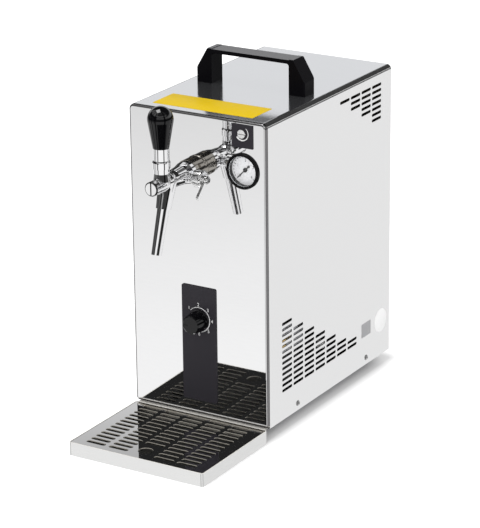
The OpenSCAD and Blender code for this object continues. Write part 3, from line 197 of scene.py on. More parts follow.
def makeWorld(s):
    world = bpy.data.worlds.new("studioRoom")
    bpy.context.scene.world = world
    world.use_nodes = True
    tree = world.node_tree
    tree.nodes.clear()
    out = tree.nodes.new("ShaderNodeOutputWorld")
    x, y, z = splitVector(tree, tree.nodes.new("ShaderNodeTexCoord").outputs["Generated"])
    compass = doMath(tree, "DEGREES", doMath(tree, "ARCTAN2", y, x))
    left, key, back = (
        makeRamp(tree, z, s[name], -1, 1) for name in ("leftColumn", "keyColumn", "backColumn")
    )
    leftRing, keyRing, backRing, stripe = (
        makeRamp(tree, compass, s[name], -180, 180)
        for name in ("leftRing", "keyRing", "backRing", "stripe")
    )
    front = mixValues(tree, "FLOAT", keyRing, doMath(tree, "MULTIPLY", left, leftRing), key)
    room = doMath(tree, "MULTIPLY", mixValues(tree, "FLOAT", backRing, front, back), stripe)
    path = tree.nodes.new("ShaderNodeLightPath")
    lit = mixValues(tree, "FLOAT", path.outputs["Is Glossy Ray"], s["ambient"], room)
    seen = doMath(
        tree, "MAXIMUM", path.outputs["Is Camera Ray"], path.outputs["Is Transmission Ray"]
    )
    shade = tree.nodes.new("ShaderNodeBackground")
    shade.inputs["Color"].default_value = (1, 1, 1, 1)
    tree.links.new(mixValues(tree, "FLOAT", seen, lit, 1.0), shade.inputs["Strength"])
    tree.links.new(shade.outputs["Background"], out.inputs["Surface"])


lampAim = Vector((0, panelY, 0.2))
lampSettings = {  # a mirrored lamp shows in reflections
    "leftSoftbox": {"place": (-1.3, -0.6, 1.1), "size": (0.4, 0.8), "power": 4, "mirrored": False},
    "frontSoftbox": {"place": (0.3, -2.0, 0.9), "size": (1.0, 0.6), "power": 11, "mirrored": False},
    "rightSoftbox": {"place": (1.3, -0.1, 1.2), "size": (0.5, 1.0), "power": 8, "mirrored": False},
    "topSoftbox": {"place": (-0.25, -0.3, 1.7), "size": (0.8, 0.6), "power": 8, "mirrored": True},
}


def makeLamps(lamps):
    for name, s in lamps.items():
        clearSelection()
        bpy.ops.object.light_add(type="AREA", location=s["place"])
        lamp = bpy.context.object
        lamp.name = name
        lamp.data.shape = "RECTANGLE"
        lamp.data.size, lamp.data.size_y = s["size"]
        lamp.data.energy = s["power"]
        lamp.rotation_euler = (lampAim - lamp.location).to_track_quat("-Z", "Y").to_euler()
        lamp.visible_glossy = s["mirrored"]


floorSettings = {
    "size": 30.0,
    "color": 0.92,
    # light added for the camera, by metres from the object's footprint, drawn in by the inset
    "glow": ((0.0, 0.0), (0.008, 0.01), (0.022, 0.42), (1.0, 0.5)),
    "inset": 0.014,
}


def makeFloor(s):
    clearSelection()
    bpy.ops.mesh.primitive_plane_add(size=s["size"])
    floor = bpy.context.object
    floor.name = "paleFloor"
    floor.visible_glossy = False  # reflections show the studio's bright table instead
    paint = bpy.data.materials.new("paleFloor")
    paint.use_nodes = True
    tree = paint.node_tree
    tree.nodes.clear()
    out = tree.nodes.new("ShaderNodeOutputMaterial")
    matte = tree.nodes.new("ShaderNodeBsdfDiffuse")
    matte.inputs["Color"].default_value = (s["color"], s["color"], s["color"], 1)
    glow = tree.nodes.new("ShaderNodeEmission")
    path = tree.nodes.new("ShaderNodeLightPath")
    x, y, _ = objectPlace(tree)
    gaps = []
    for value, low, high in ((x, cadLow.x, cadHigh.x), (y, cadLow.y, cadHigh.y)):
        offset = doMath(tree, "ABSOLUTE", doMath(tree, "SUBTRACT", value, (low + high) / 2))
        beyond = doMath(tree, "SUBTRACT", offset, (high - low) / 2 - s["inset"])
        gaps.append(doMath(tree, "MAXIMUM", beyond, 0.0))
    fade = makeRamp(tree, flatReach(tree, *gaps), s["glow"], 0, 1)
    add = tree.nodes.new("ShaderNodeAddShader")
    link = tree.links.new
    amount = doMath(tree, "MULTIPLY", path.outputs["Is Camera Ray"], fade)
    link(amount, glow.inputs["Strength"])
    link(matte.outputs["BSDF"], add.inputs[0])
    link(glow.outputs["Emission"], add.inputs[1])
    link(add.outputs["Shader"], out.inputs["Surface"])
    floor.data.materials.append(paint)


bpy.context.scene.view_settings.view_transform = "Standard"
makeCamera(cameraSettings)
makeWorld(worldSettings)
makeLamps(lampSettings)
makeFloor(floorSettings)
print("camera, room, lamps and floor made")

# finishes

grainSettings = {"detail": 4, "low": 0.3, "high": 0.7}  # the noise's detail and usual range


def makeGrainGroup(s):
    # stretched noise: roughness between two values, a shade mask and a height
    group = bpy.data.node_groups.new("surfaceGrain", "ShaderNodeTree")
    face = group.interface
    for name, kind, value in (
        ("Scale", "NodeSocketFloat", 100.0),
        ("Stretch", "NodeSocketVector", (1, 1, 1)),
        ("Smooth", "NodeSocketFloat", 0.1),
        ("Rough", "NodeSocketFloat", 0.2),
    ):
        face.new_socket(name, in_out="INPUT", socket_type=kind).default_value = value
    for name in ("Roughness", "Shade", "Height"):
        face.new_socket(name, in_out="OUTPUT", socket_type="NodeSocketFloat")
    start = group.nodes.new("NodeGroupInput")
    end = group.nodes.new("NodeGroupOutput")
    coord = group.nodes.new("ShaderNodeTexCoord")
    pull = group.nodes.new("ShaderNodeVectorMath")
    pull.operation = "MULTIPLY"
    noise = group.nodes.new("ShaderNodeTexNoise")
    noise.inputs["Detail"].default_value = s["detail"]
    spread = group.nodes.new("ShaderNodeMapRange")
    spread.inputs["From Min"].default_value = s["low"]
    spread.inputs["From Max"].default_value = s["high"]
    link = group.links.new
    link(coord.outputs["Object"], pull.inputs[0])
    link(start.outputs["Stretch"], pull.inputs[1])
    link(pull.outputs["Vector"], noise.inputs["Vector"])
    link(start.outputs["Scale"], noise.inputs["Scale"])
    link(noise.outputs["Fac"], spread.inputs["Value"])
    link(start.outputs["Smooth"], spread.inputs["To Min"])
    link(start.outputs["Rough"], spread.inputs["To Max"])
    link(spread.outputs["Result"], end.inputs["Roughness"])
    link(noise.outputs["Fac"], end.inputs["Shade"])
    link(noise.outputs["Fac"], end.inputs["Height"])
    return group


grainGroup = makeGrainGroup(grainSettings)


def paintedInsideShadeMask(tree, s):
    # 1 on the inner faces of a shell, by its half width, its top and its front, where painted shade
    # darkens them
    x, y, z = objectPlace(tree)
    narrow = doMath(tree, "LESS_THAN", doMath(tree, "ABSOLUTE", x), s["half"])
    inner = doMath(tree, "MULTIPLY", narrow, doMath(tree, "LESS_THAN", z, s["top"]))
    return doMath(tree, "MULTIPLY", inner, doMath(tree, "GREATER_THAN", y, s["front"]))


def paintedRimShadeMask(tree, s):
    # 1 along the rolled sides and top of the front panel, which get a painted dark reflection
    x, _, z = objectPlace(tree)
    left = doMath(tree, "LESS_THAN", x, s["left"])
    side = doMath(tree, "MAXIMUM", left, doMath(tree, "GREATER_THAN", x, s["right"]))
    return doMath(tree, "MAXIMUM", side, doMath(tree, "GREATER_THAN", z, s["top"]))


def cutMask(tree, s):
    # 1 on the upright cut edges inside a level sheet's outline
    steep = doMath(tree, "LESS_THAN", doMath(tree, "ABSOLUTE", faceLean(tree)), s["level"])
    x, y, _ = objectPlace(tree)
    inner = doMath(tree, "LESS_THAN", doMath(tree, "ABSOLUTE", x), s["half"])
    behind = doMath(tree, "GREATER_THAN", y, s["front"])
    return doMath(tree, "MULTIPLY", steep, doMath(tree, "MULTIPLY", inner, behind))


def paintedTopLightMask(tree, s):
    # 1 on faces that look up, which get a painted highlight
    return doMath(tree, "GREATER_THAN", faceLean(tree), s["level"])


def awayMask(tree, s):
    # 1 further than a radius from a point
    coord = tree.nodes.new("ShaderNodeTexCoord")
    reach = tree.nodes.new("ShaderNodeVectorMath")
    reach.operation = "DISTANCE"
    reach.inputs[1].default_value = s["centre"]
    tree.links.new(coord.outputs["Object"], reach.inputs[0])
    return doMath(tree, "GREATER_THAN", reach.outputs["Value"], s["radius"])


def aboveMask(tree, s):
    return doMath(tree, "GREATER_THAN", objectPlace(tree)[2], s["level"])


def belowMask(tree, s):
    return doMath(tree, "LESS_THAN", objectPlace(tree)[2], s["level"])


def paintedCapShadeMask(tree, s):
    # 1 round the edge of a round front face and in its slot, which get a painted dark reflection
    # and painted shade
    x, y, z = objectPlace(tree)
    across = doMath(tree, "SUBTRACT", x, s["centre"][0])
    rise = doMath(tree, "SUBTRACT", z, s["centre"][1])
    edge = doMath(tree, "GREATER_THAN", flatReach(tree, across, rise), s["radius"])
    near = doMath(tree, "LESS_THAN", y, s["back"])
    deep = doMath(tree, "GREATER_THAN", y, s["front"])
    slot = doMath(tree, "MULTIPLY", deep, doMath(tree, "SUBTRACT", 1.0, edge))
    return doMath(tree, "MAXIMUM", slot, doMath(tree, "MULTIPLY", edge, near))


masks = {
    "inside": paintedInsideShadeMask, "rim": paintedRimShadeMask, "cut": cutMask, "up": paintedTopLightMask,
    "away": awayMask, "above": aboveMask, "below": belowMask, "cap": paintedCapShadeMask,
}
plainFinish = {  # what a finish has where its own settings don't say
    "metal": 0.0, "coat": 0.0, "coatRough": 0.05, "shine": 0.5, "stretch": (1, 1, 1),
    "depth": 0.0001, "layers": (),
}


def makeFinish(name, settings):
    s = {**plainFinish, **settings}
    finish = bpy.data.materials.new(name)
    finish.use_nodes = True
    tree = finish.node_tree
    shader = tree.nodes["Principled BSDF"]
    shader.inputs["Metallic"].default_value = s["metal"]
    shader.inputs["Coat Weight"].default_value = s["coat"]
    shader.inputs["Coat Roughness"].default_value = s["coatRough"]
    shader.inputs["Specular IOR Level"].default_value = s["shine"]
    grain = tree.nodes.new("ShaderNodeGroup")
    grain.node_tree = grainGroup
    grain.inputs["Scale"].default_value = s["scale"]
    grain.inputs["Stretch"].default_value = s["stretch"]
    grain.inputs["Smooth"].default_value, grain.inputs["Rough"].default_value = s["rough"]
    color = mixValues(tree, "RGBA", grain.outputs["Shade"], (*s["dark"], 1), (*s["light"], 1))
    rough = grain.outputs["Roughness"]
    link = tree.links.new
    metal = s["metal"]
    for layer in s["layers"]:  # another surface where a mask is 1
        mask = masks[layer["mask"]](tree, layer)
        color = mixValues(tree, "RGBA", mask, color, (*layer["color"], 1))
        rough = mixValues(tree, "FLOAT", mask, rough, layer["rough"])
        if layer["metal"] != s["metal"]:
            metal = mixValues(tree, "FLOAT", mask, metal, layer["metal"])
            link(metal, shader.inputs["Metallic"])
        if "coat" in layer:
            link(doMath(tree, "MULTIPLY", mask, layer["coat"]), shader.inputs["Coat Weight"])
    link(color, shader.inputs["Base Color"])
    link(rough, shader.inputs["Roughness"])
    if "bow" in s:  # a sheet that is not quite flat
        b = s["bow"]
        swell = tree.nodes.new("ShaderNodeMapRange")
        swell.interpolation_type = "SMOOTHSTEP"
        swell.inputs["From Min"].default_value, swell.inputs["From Max"].default_value = b["span"]
        swell.inputs["To Max"].default_value = b["depth"]
        dent = tree.nodes.new("ShaderNodeBump")
        dent.inputs["Distance"].default_value = 1.0
        link(objectPlace(tree)[2], swell.inputs["Value"])
        link(swell.outputs["Result"], dent.inputs["Height"])
        link(dent.outputs["Normal"], shader.inputs["Normal"])
    if s["bump"] > 0:
        bump = tree.nodes.new("ShaderNodeBump")
        bump.inputs["Strength"].default_value = s["bump"]
        bump.inputs["Distance"].default_value = s["depth"]
        link(grain.outputs["Height"], bump.inputs["Height"])
        link(bump.outputs["Normal"], shader.inputs["Normal"])
    if "window" in s:  # clear glass: a gloss that grows towards its edges over plain clearness
        clear = tree.nodes.new("ShaderNodeBsdfTransparent")
        glance = tree.nodes.new("ShaderNodeFresnel")
        glance.inputs["IOR"].default_value = s["window"]
        pane = tree.nodes.new("ShaderNodeMixShader")
        link(glance.outputs["Fac"], pane.inputs["Fac"])
        link(clear.outputs["BSDF"], pane.inputs[1])
        link(shader.outputs["BSDF"], pane.inputs[2])
        link(pane.outputs["Shader"], tree.nodes["Material Output"].inputs["Surface"])
    return finish


filterLow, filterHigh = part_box("air_filter")
filterRadius = 6 * mm  # the filter's white round cap
filterCentre = (
    filterHigh.x - filterRadius, filterHigh.y - filterRadius, filterLow.z + filterRadius
)
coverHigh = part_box("cover")[1]
trayLow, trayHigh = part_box("drip_tray")
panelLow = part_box("front_panel")[0]
gridLow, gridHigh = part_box("drip_grid")
capLow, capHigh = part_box("tap_cap")
capCentre = ((capLow.x + capHigh.x) / 2, (capLow.z + capHigh.z) / 2)
capRadius = (capHigh.x - capLow.x) / 2
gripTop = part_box("tap_knob")[1].z

finishSettings = {
    "panelSteel": {
        "metal": 1.0, "light": (0.90, 0.90, 0.905), "dark": (0.87, 0.87, 0.875),
        "scale": 60, "stretch": (1, 1, 6), "rough": (0.015, 0.03), "bump": 0,
        "bow": {"span": (0, 160 * mm), "depth": 1.5 * mm},
        "layers": ({
            # painted reflection: the rolled sides and top darkened to stand in for the dark room
            # they mirror
            "mask": "rim", "left": 2.4 * mm - coverHigh.x, "right": coverHigh.x - 1.5 * mm,
            "top": coverHigh.z - 1.5 * mm, "color": (0.24, 0.235, 0.24),
            "rough": 0.12, "metal": 1.0,
        }, {
            # painted reflection: the lowest 1.2 mm, the lower roll, coloured a dull beige-grey
            "mask": "below", "level": panelLow.z + 1.2 * mm, "color": (0.5, 0.48, 0.44),
            "rough": 0.3, "metal": 1.0,
        }),
    },
    "gridSteel": {
        "metal": 1.0, "light": (0.90, 0.90, 0.905), "dark": (0.86, 0.86, 0.865),
        "scale": 60, "stretch": (1, 1, 6), "rough": (0.02, 0.04), "bump": 0,
        "layers": ({
            "mask": "cut", "level": 0.5, "half": gridHigh.x - 2 * mm, "front": gridLow.y + 2 * mm,
            "color": (0.45, 0.425, 0.375), "rough": 0.45, "metal": 0.2,
        },),
    },
    "coverSteel": {
        "metal": 1.0, "light": (0.88, 0.88, 0.88), "dark": (0.86, 0.86, 0.865),
        "scale": 90, "stretch": (1, 1, 5), "rough": (0.15, 0.18), "bump": 0,
        "layers": ({
            # painted shade: the cover's inner faces black, so the vents look dark
            "mask": "inside", "half": coverHigh.x - 0.6 * mm, "top": coverHigh.z - 0.6 * mm,
            "front": -1, "color": (0.02, 0.02, 0.02), "rough": 0.7, "metal": 0.0,
        }, {
            # painted reflection: the top face tinted blue and a little less metallic
            "mask": "above", "level": coverHigh.z - 0.3 * mm, "color": (0.77, 0.785, 0.815),
            "rough": 0.12, "metal": 0.975,
        }),
    },
    "traySteel": {
        "metal": 1.0, "light": (0.84, 0.84, 0.835), "dark": (0.74, 0.74, 0.735),
        "scale": 120, "stretch": (1, 1, 8), "rough": (0.06, 0.16), "bump": 0.02,
        "layers": ({
            # painted shade: the tray's steel inside darkened under the grid
            "mask": "inside", "half": trayHigh.x - 1.1 * mm, "top": trayHigh.z - 0.4 * mm,
            "front": trayLow.y + 1.1 * mm, "color": (0.09, 0.09, 0.085),
            "rough": 0.35, "metal": 1.0,
        }, {
            # painted highlight: the rim's top face a pale satin beige
            "mask": "above", "level": trayHigh.z - 0.2 * mm, "color": (0.74, 0.72, 0.68),
            "rough": 0.4, "metal": 0.15,
        }),
    },
    "screwSteel": {
        "metal": 1.0, "light": (0.6, 0.6, 0.6), "dark": (0.5, 0.5, 0.5),
        "scale": 300, "rough": (0.12, 0.2), "bump": 0.02,
    },
    "platedSheet": {
        "metal": 1.0, "light": (0.62, 0.63, 0.64), "dark": (0.5, 0.51, 0.53),
        "scale": 40, "rough": (0.28, 0.45), "bump": 0.03,
    },
    # painted shade: a dark copy of the plated sheet for the base pan, standing in for the shade
    # inside the cabinet
    "panSheet": {
        "metal": 1.0, "light": (0.2, 0.2, 0.21), "dark": (0.14, 0.14, 0.15),
        "scale": 40, "rough": (0.4, 0.55), "bump": 0.03,
    },
    "tapChrome": {
        "metal": 1.0, "light": (0.94, 0.94, 0.945), "dark": (0.91, 0.91, 0.92),
        "scale": 220, "rough": (0.02, 0.04), "bump": 0,
    },
    "capChrome": {
        "metal": 1.0, "light": (0.94, 0.94, 0.945), "dark": (0.91, 0.91, 0.92),
        "scale": 220, "rough": (0.02, 0.04), "bump": 0,
        "layers": ({
            # painted dark reflection round the cap's edge and painted shade in its slot
            "mask": "cap", "centre": capCentre, "radius": capRadius - 1.3 * mm,
            "front": capLow.y + 0.25 * mm, "back": capLow.y + 1.8 * mm,
            "color": (0.08, 0.08, 0.08), "rough": 0.2, "metal": 1.0,
        },),
    },
    "satinChrome": {
        "metal": 1.0, "light": (0.95, 0.95, 0.95), "dark": (0.92, 0.92, 0.92),
        "scale": 220, "rough": (0.14, 0.2), "bump": 0,
    },
    # painted shade: a darker brownish copy of the tap's chrome, standing in for the dark
    # reflections on the collar, rosette and shank
    "paintedShadeCollarChrome": {
        "metal": 1.0, "light": (0.4, 0.38, 0.345), "dark": (0.32, 0.3, 0.27),
        "scale": 220, "rough": (0.12, 0.2), "bump": 0,
    },
    "glossBlack": {
        "light": (0.002, 0.002, 0.0025), "dark": (0.0012, 0.0012, 0.0016), "shine": 0.36,
        "scale": 300, "rough": (0.06, 0.1), "bump": 0.005,
        "layers": ({
            "mask": "above", "level": gripTop - 10 * mm, "color": (0.002, 0.002, 0.0025),
            "rough": 0.08, "metal": 0.0, "coat": 1.0,
        },),
    },
    "handleBlack": {
        "light": (0.0036, 0.0034, 0.0044), "dark": (0.0026, 0.0024, 0.0032), "shine": 0.03,
        "scale": 500, "rough": (0.26, 0.34), "bump": 0.01,
        "layers": ({
            # painted highlight: the faces that look up are a lighter grey
            "mask": "up", "level": 0.9, "color": (0.13, 0.13, 0.135), "rough": 0.35, "metal": 0.0,
        },),
    },
    "fasciaFoil": {
        "light": (0.029, 0.0265, 0.0325), "dark": (0.022, 0.0205, 0.025), "shine": 0.15,
        "scale": 900, "rough": (0.38, 0.5), "bump": 0.04, "depth": 0.00005,
    },
    "dialEnamel": {
        "light": (0.97, 0.97, 0.985), "dark": (0.95, 0.95, 0.965),
        "scale": 200, "rough": (0.3, 0.4), "bump": 0.01,
    },
    "needleEnamelAndRecessShade": {
        "light": (0.014, 0.014, 0.015), "dark": (0.008, 0.008, 0.009),
        "scale": 500, "rough": (0.3, 0.4), "bump": 0.01,
    },
    "clearWindow": {
        "light": (0.9, 0.92, 0.93), "dark": (0.86, 0.88, 0.9), "window": 1.3,
        "scale": 30, "rough": (0.02, 0.05), "bump": 0,
    },
    "pumpCase": {
        "light": (0.62, 0.63, 0.66), "dark": (0.54, 0.55, 0.58),
        "scale": 500, "rough": (0.42, 0.55), "bump": 0.05,
    },
    "bezelBlack": {
        "light": (0.004, 0.004, 0.005), "dark": (0.003, 0.003, 0.003), "shine": 0.12,
        "scale": 400, "rough": (0.2, 0.3), "bump": 0.02,
    },
    "greyCase": {
        "light": (0.36, 0.37, 0.38), "dark": (0.28, 0.29, 0.30),
        "scale": 500, "rough": (0.42, 0.55), "bump": 0.08,
    },
    "turnedBrass": {
        "metal": 1.0, "light": (0.78, 0.58, 0.27), "dark": (0.66, 0.47, 0.20),
        "scale": 300, "rough": (0.18, 0.3), "bump": 0.02,
    },
    "footRubber": {
        "light": (0.035, 0.035, 0.036), "dark": (0.02, 0.02, 0.021),
        "scale": 700, "rough": (0.6, 0.75), "bump": 0.15,
    },
    "whiteNylon": {
        "light": (0.80, 0.80, 0.78), "dark": (0.72, 0.72, 0.70),
        "scale": 400, "rough": (0.35, 0.5), "bump": 0.04,
    },
    "filterCap": {
        "light": (0.84, 0.84, 0.83), "dark": (0.78, 0.78, 0.77),
        "scale": 400, "rough": (0.35, 0.5), "bump": 0.04,
        "layers": ({
            "mask": "away", "centre": filterCentre, "radius": filterRadius + 0.4 * mm,
            "color": (0.012, 0.012, 0.012), "rough": 0.6, "metal": 0.0,
        },),
    },
    "rigidFoam": {
        "light": (0.80, 0.72, 0.45), "dark": (0.66, 0.58, 0.34),
        "scale": 600, "rough": (0.75, 0.9), "bump": 0.4, "depth": 0.0004,
    },
    "rolledAluminium": {
        "metal": 1.0, "light": (0.80, 0.81, 0.82), "dark": (0.66, 0.67, 0.69),
        "scale": 80, "stretch": (1, 1, 6), "rough": (0.25, 0.4), "bump": 0.03,
    },
    "shellEnamel": {
        "light": (0.012, 0.012, 0.013), "dark": (0.008, 0.008, 0.009), "shine": 0.3,
        "scale": 350, "rough": (0.3, 0.45), "bump": 0.05,
    },
    "satinBlack": {
        "light": (0.024, 0.024, 0.026), "dark": (0.016, 0.016, 0.018),
        "scale": 800, "rough": (0.4, 0.52), "bump": 0.08,
    },
    "rockerRed": {
        "light": (0.52, 0.03, 0.02), "dark": (0.42, 0.02, 0.015), "coat": 0.4,
        "scale": 400, "rough": (0.2, 0.3), "bump": 0.02,
    },
    "labelYellow": {
        "light": (0.62, 0.43, 0.01), "dark": (0.56, 0.385, 0.008), "shine": 0.06,
        "scale": 250, "rough": (0.35, 0.5), "bump": 0.02,
    },
    "printWhite": {
        "light": (0.72, 0.72, 0.72), "dark": (0.62, 0.62, 0.62), "shine": 0.2,
        "scale": 900, "rough": (0.45, 0.6), "bump": 0.03,
    },
    "printBlack": {
        "light": (0.02, 0.02, 0.022), "dark": (0.012, 0.012, 0.014), "shine": 0.2,
        "scale": 900, "rough": (0.45, 0.6), "bump": 0.03,
    },
    "stickerGrey": {
        "light": (0.36, 0.36, 0.37), "dark": (0.31, 0.31, 0.32), "shine": 0.3,
        "scale": 500, "rough": (0.4, 0.5), "bump": 0.03,
    },
    "stickerWhite": {
        "light": (0.86, 0.86, 0.86), "dark": (0.82, 0.82, 0.82), "shine": 0.3,
        "scale": 500, "rough": (0.4, 0.5), "bump": 0.03,
    },
}
finishes = {name: makeFinish(name, s) for name, s in finishSettings.items()}

nodeFinishes = {
    "panelSteel": ("front_panel",),
    "gridSteel": ("drip_grid",),
    "coverSteel": ("cover",),
    "traySteel": ("drip_tray",),
    "screwSteel": ("cover_screws", "handle_screws", "thermostat_shaft"),
    "platedSheet": ("rear_panel", "shelf"),
    "panSheet": ("base_pan",),
    "tapChrome": ("tap_body", "tap_spout", "lever_nut", "tap_lever"),
    "satinChrome": ("compensator_knob", "compensator_lever", "regulator_screw"),
    "capChrome": ("tap_cap",),
    "paintedShadeCollarChrome": ("tap_rosette", "tap_collar", "tap_shank"),
    "glossBlack": ("tap_knob", "thermostat_knob"),
    "bezelBlack": ("gauge_bezel",),
    "pumpCase": ("air_pump",),
    "handleBlack": ("carry_handle",),
    "fasciaFoil": ("control_fascia", "regulator_plate"),
    "dialEnamel": ("gauge_dial",),
    "needleEnamelAndRecessShade": ("gauge_needle",),
    "clearWindow": ("gauge_lens",),
    "greyCase": ("gauge_case", "thermostat", "fan_motor"),
    "turnedBrass": ("shank_nut", "regulator_body", "air_elbow"),
    "footRubber": ("feet", "compressor_mounts"),
    "whiteNylon": ("beer_line", "air_line", "gauge_line", "compensator_cone", "tap_plunger"),
    "filterCap": ("air_filter",),
    "rigidFoam": ("block_foam",),
    "rolledAluminium": ("cooling_block", "condenser"),
    "shellEnamel": ("compressor", "pump_bracket"),
    "satinBlack": (
        "fan_frame", "fan_rotor", "beer_inlet", "air_outlet", "cable_gland", "switch_frame",
    ),
    "rockerRed": ("switch_rocker",),
}
for finishName, members in nodeFinishes.items():
    for member in members:
        nodes[member].data.materials.clear()
        nodes[member].data.materials.append(finishes[finishName])
print("finishes made:", len(finishes))

# tools for the added pieces

weldReach = 0.000001
smoothAngle = math.radians(35)  # sharper edges stay crisp


def dropSelection(mesh):
    for items in (mesh.vertices, mesh.edges, mesh.polygons):
        items.foreach_set("select", [False] * len(items))


def selectFaces(piece, test):
    bpy.ops.object.mode_set(mode="OBJECT")
    dropSelection(piece.data)
    for face in piece.data.polygons:
        face.select = test(face)
    bpy.ops.object.mode_set(mode="EDIT")
    bpy.ops.mesh.select_mode(type="FACE")


def selectPoints(piece, test):
    bpy.ops.object.mode_set(mode="OBJECT")
    dropSelection(piece.data)
    for point in piece.data.vertices:
        point.select = test(point.co)
    bpy.ops.object.mode_set(mode="EDIT")
    bpy.ops.mesh.select_mode(type="VERT")


def closeShape():
    # merges doubles, fills open ends and turns all faces outwards
    bpy.ops.mesh.select_all(action="SELECT")
    bpy.ops.mesh.remove_doubles(threshold=weldReach)
    bpy.ops.mesh.select_all(action="SELECT")
    bpy.ops.mesh.fill_holes(sides=0)
    bpy.ops.mesh.select_all(action="SELECT")
    bpy.ops.mesh.normals_make_consistent(inside=False)
    bpy.ops.object.mode_set(mode="OBJECT")


def placePiece(piece, turn, place):
    piece.rotation_euler = turn
    piece.location = place
    bpy.ops.object.transform_apply(location=True, rotation=True, scale=True)


def finishPiece(piece, name, finish, body):
    piece.name = name
    piece.data.name = name
    piece.data.materials.clear()
    piece.data.materials.append(finishes[finish])
    clearSelection()
    piece.select_set(True)
    bpy.context.view_layer.objects.active = piece
    bpy.ops.object.shade_smooth_by_angle(angle=smoothAngle)
    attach(piece, body)


def joinPieces(pieces):
    clearSelection()
    for piece in pieces:
        piece.select_set(True)
    bpy.context.view_layer.objects.active = pieces[0]
    bpy.ops.object.join()
    return bpy.context.object


faceFront = (math.radians(90), 0, 0)  # a flat piece's upper side turned to the front
faceRight = (math.radians(90), 0, math.radians(90))
faceLeft = (math.radians(90), 0, math.radians(-90))

# printed and stuck-on sheets

sheetSettings = {
    "topStrip": {
        "size": (128 * mm, 42 * mm), "corner": 1.2 * mm, "thick": 0.2 * mm, "turn": (0, 0, 0),
        "place": (-2 * mm, panelY + 36 * mm, coverHigh.z), "finish": "labelYellow",
        "slot": "white_plastic",
    },
    "squareSticker": {
        "size": (21.9 * mm, 17 * mm), "corner": 0.8 * mm, "thick": 0.15 * mm, "turn": faceRight,
        "place": (coverHigh.x, panelY + 226.6 * mm, 60.5 * mm), "finish": "stickerGrey",
        "slot": "grey_case",
    },
    "roundSticker": {
        "size": (29 * mm, 29 * mm), "corner": 14.4 * mm, "thick": 0.15 * mm, "turn": faceRight,
        "place": (coverHigh.x, panelY + 262 * mm, 60 * mm), "finish": "stickerWhite",
        "slot": "white_plastic",
    },
}

sheetEdge = {"cornerSteps": 12, "bevel": 0.4, "bevelSteps": 2}  # bevel as a share of the thickness


def makeSheet(name, s):
    clearSelection()
    bpy.ops.mesh.primitive_plane_add(size=1)
    piece = bpy.context.object
    piece.scale = (*s["size"], 1)
    bpy.ops.object.transform_apply(location=False, rotation=False, scale=True)
    bpy.ops.object.mode_set(mode="EDIT")
    bpy.ops.mesh.bevel(
        offset=s["corner"], offset_pct=0, segments=sheetEdge["cornerSteps"], affect="VERTICES"
    )
    bpy.ops.mesh.select_all(action="SELECT")
    bpy.ops.mesh.extrude_region_move(TRANSFORM_OT_translate={"value": (0, 0, s["thick"])})
    selectFaces(piece, lambda face: face.normal.z > 0.9 and face.center.z > s["thick"] / 2)
    bpy.ops.mesh.bevel(
        offset=s["thick"] * sheetEdge["bevel"], offset_pct=0, segments=sheetEdge["bevelSteps"],
        affect="EDGES",
    )
    closeShape()
    placePiece(piece, s["turn"], s["place"])
    finishPiece(piece, name, s["finish"], "cabinet")


for name, s in sheetSettings.items():
    makeSheet(name, s)
print("strip and stickers made")

# printed arcs round the thermostat knob and the regulator screw

knobLow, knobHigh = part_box("thermostat_knob")
screwLow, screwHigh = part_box("regulator_screw")
printLift = 1.2 * mm  # the scale is printed a little above the knob's axis
printCentre = ((knobLow.x + knobHigh.x) / 2, (knobLow.z + knobHigh.z) / 2 + printLift)
screwCentre = ((screwLow.x + screwHigh.x) / 2, (screwLow.z + screwHigh.z) / 2)
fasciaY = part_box("control_fascia")[0].y
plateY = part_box("regulator_plate")[0].y
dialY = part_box("gauge_dial")[0].y
dialLow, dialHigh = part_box("gauge_dial")
dialCentre = ((dialLow.x + dialHigh.x) / 2, (dialLow.z + dialHigh.z) / 2)
printThick = 0.08 * mm

arcSettings = {
    "thermostatArc": {
        "centre": printCentre, "y": fasciaY, "radius": 14.2 * mm, "width": 0.5 * mm, "grow": 2.6,
        "start": 140, "sweep": 227, "steps": 44,
    },
    "regulatorArc": {
        "centre": screwCentre, "y": plateY, "radius": 7.6 * mm, "width": 0.6 * mm, "grow": 3.4,
        "start": 52, "sweep": 200, "steps": 32,
    },
}


def makeArc(name, s):
    # a small square section carried clockwise round the centre, seen from the front
    clearSelection()
    bpy.ops.mesh.primitive_plane_add(size=1, location=(s["radius"], 0, 0))
    piece = bpy.context.object
    piece.scale = (s["width"], printThick, 1)
    bpy.ops.object.transform_apply(location=True, rotation=False, scale=True)
    bpy.ops.object.mode_set(mode="EDIT")
    step = math.radians(s["sweep"] / s["steps"])
    grow = s["grow"] ** (1 / s["steps"])
    for i in range(s["steps"]):
        bpy.ops.mesh.extrude_region_move(TRANSFORM_OT_translate={"value": (0, 0, 0)})
        bpy.ops.transform.rotate(
            value=-step, orient_axis="Y", orient_type="GLOBAL", center_override=(0, 0, 0)
        )
        angle = step * (i + 1)
        middle = (s["radius"] * math.cos(angle), 0, -s["radius"] * math.sin(angle))
        bpy.ops.transform.resize(
            value=(grow, 1, grow), orient_type="GLOBAL", center_override=middle
        )
    closeShape()
    x, z = s["centre"]
    placePiece(piece, (0, math.radians(-s["start"]), 0), (x, s["y"], z))
    finishPiece(piece, name, "printWhite", "cabinet")


for name, s in arcSettings.items():
    makeArc(name, s)
print("arcs made")

# figures round the thermostat knob and on the gauge's dial

figureSettings = {
    "thermostatFigures": {
        "centre": printCentre, "y": fasciaY, "radius": 17.3 * mm, "size": 5.6 * mm,
        "figures": "123456", "start": 137, "step": 45.2, "finish": "printWhite",
        "slot": "dial_white",
    },
    "gaugeFigures": {
        "centre": dialCentre, "y": dialY, "radius": 10.4 * mm, "size": 4.4 * mm,
        "figures": "01234", "start": 225, "step": 67.5, "finish": "printBlack",
        "slot": "needle_black",
    },
}

figureSteps = 4  # segments of a figure's curves


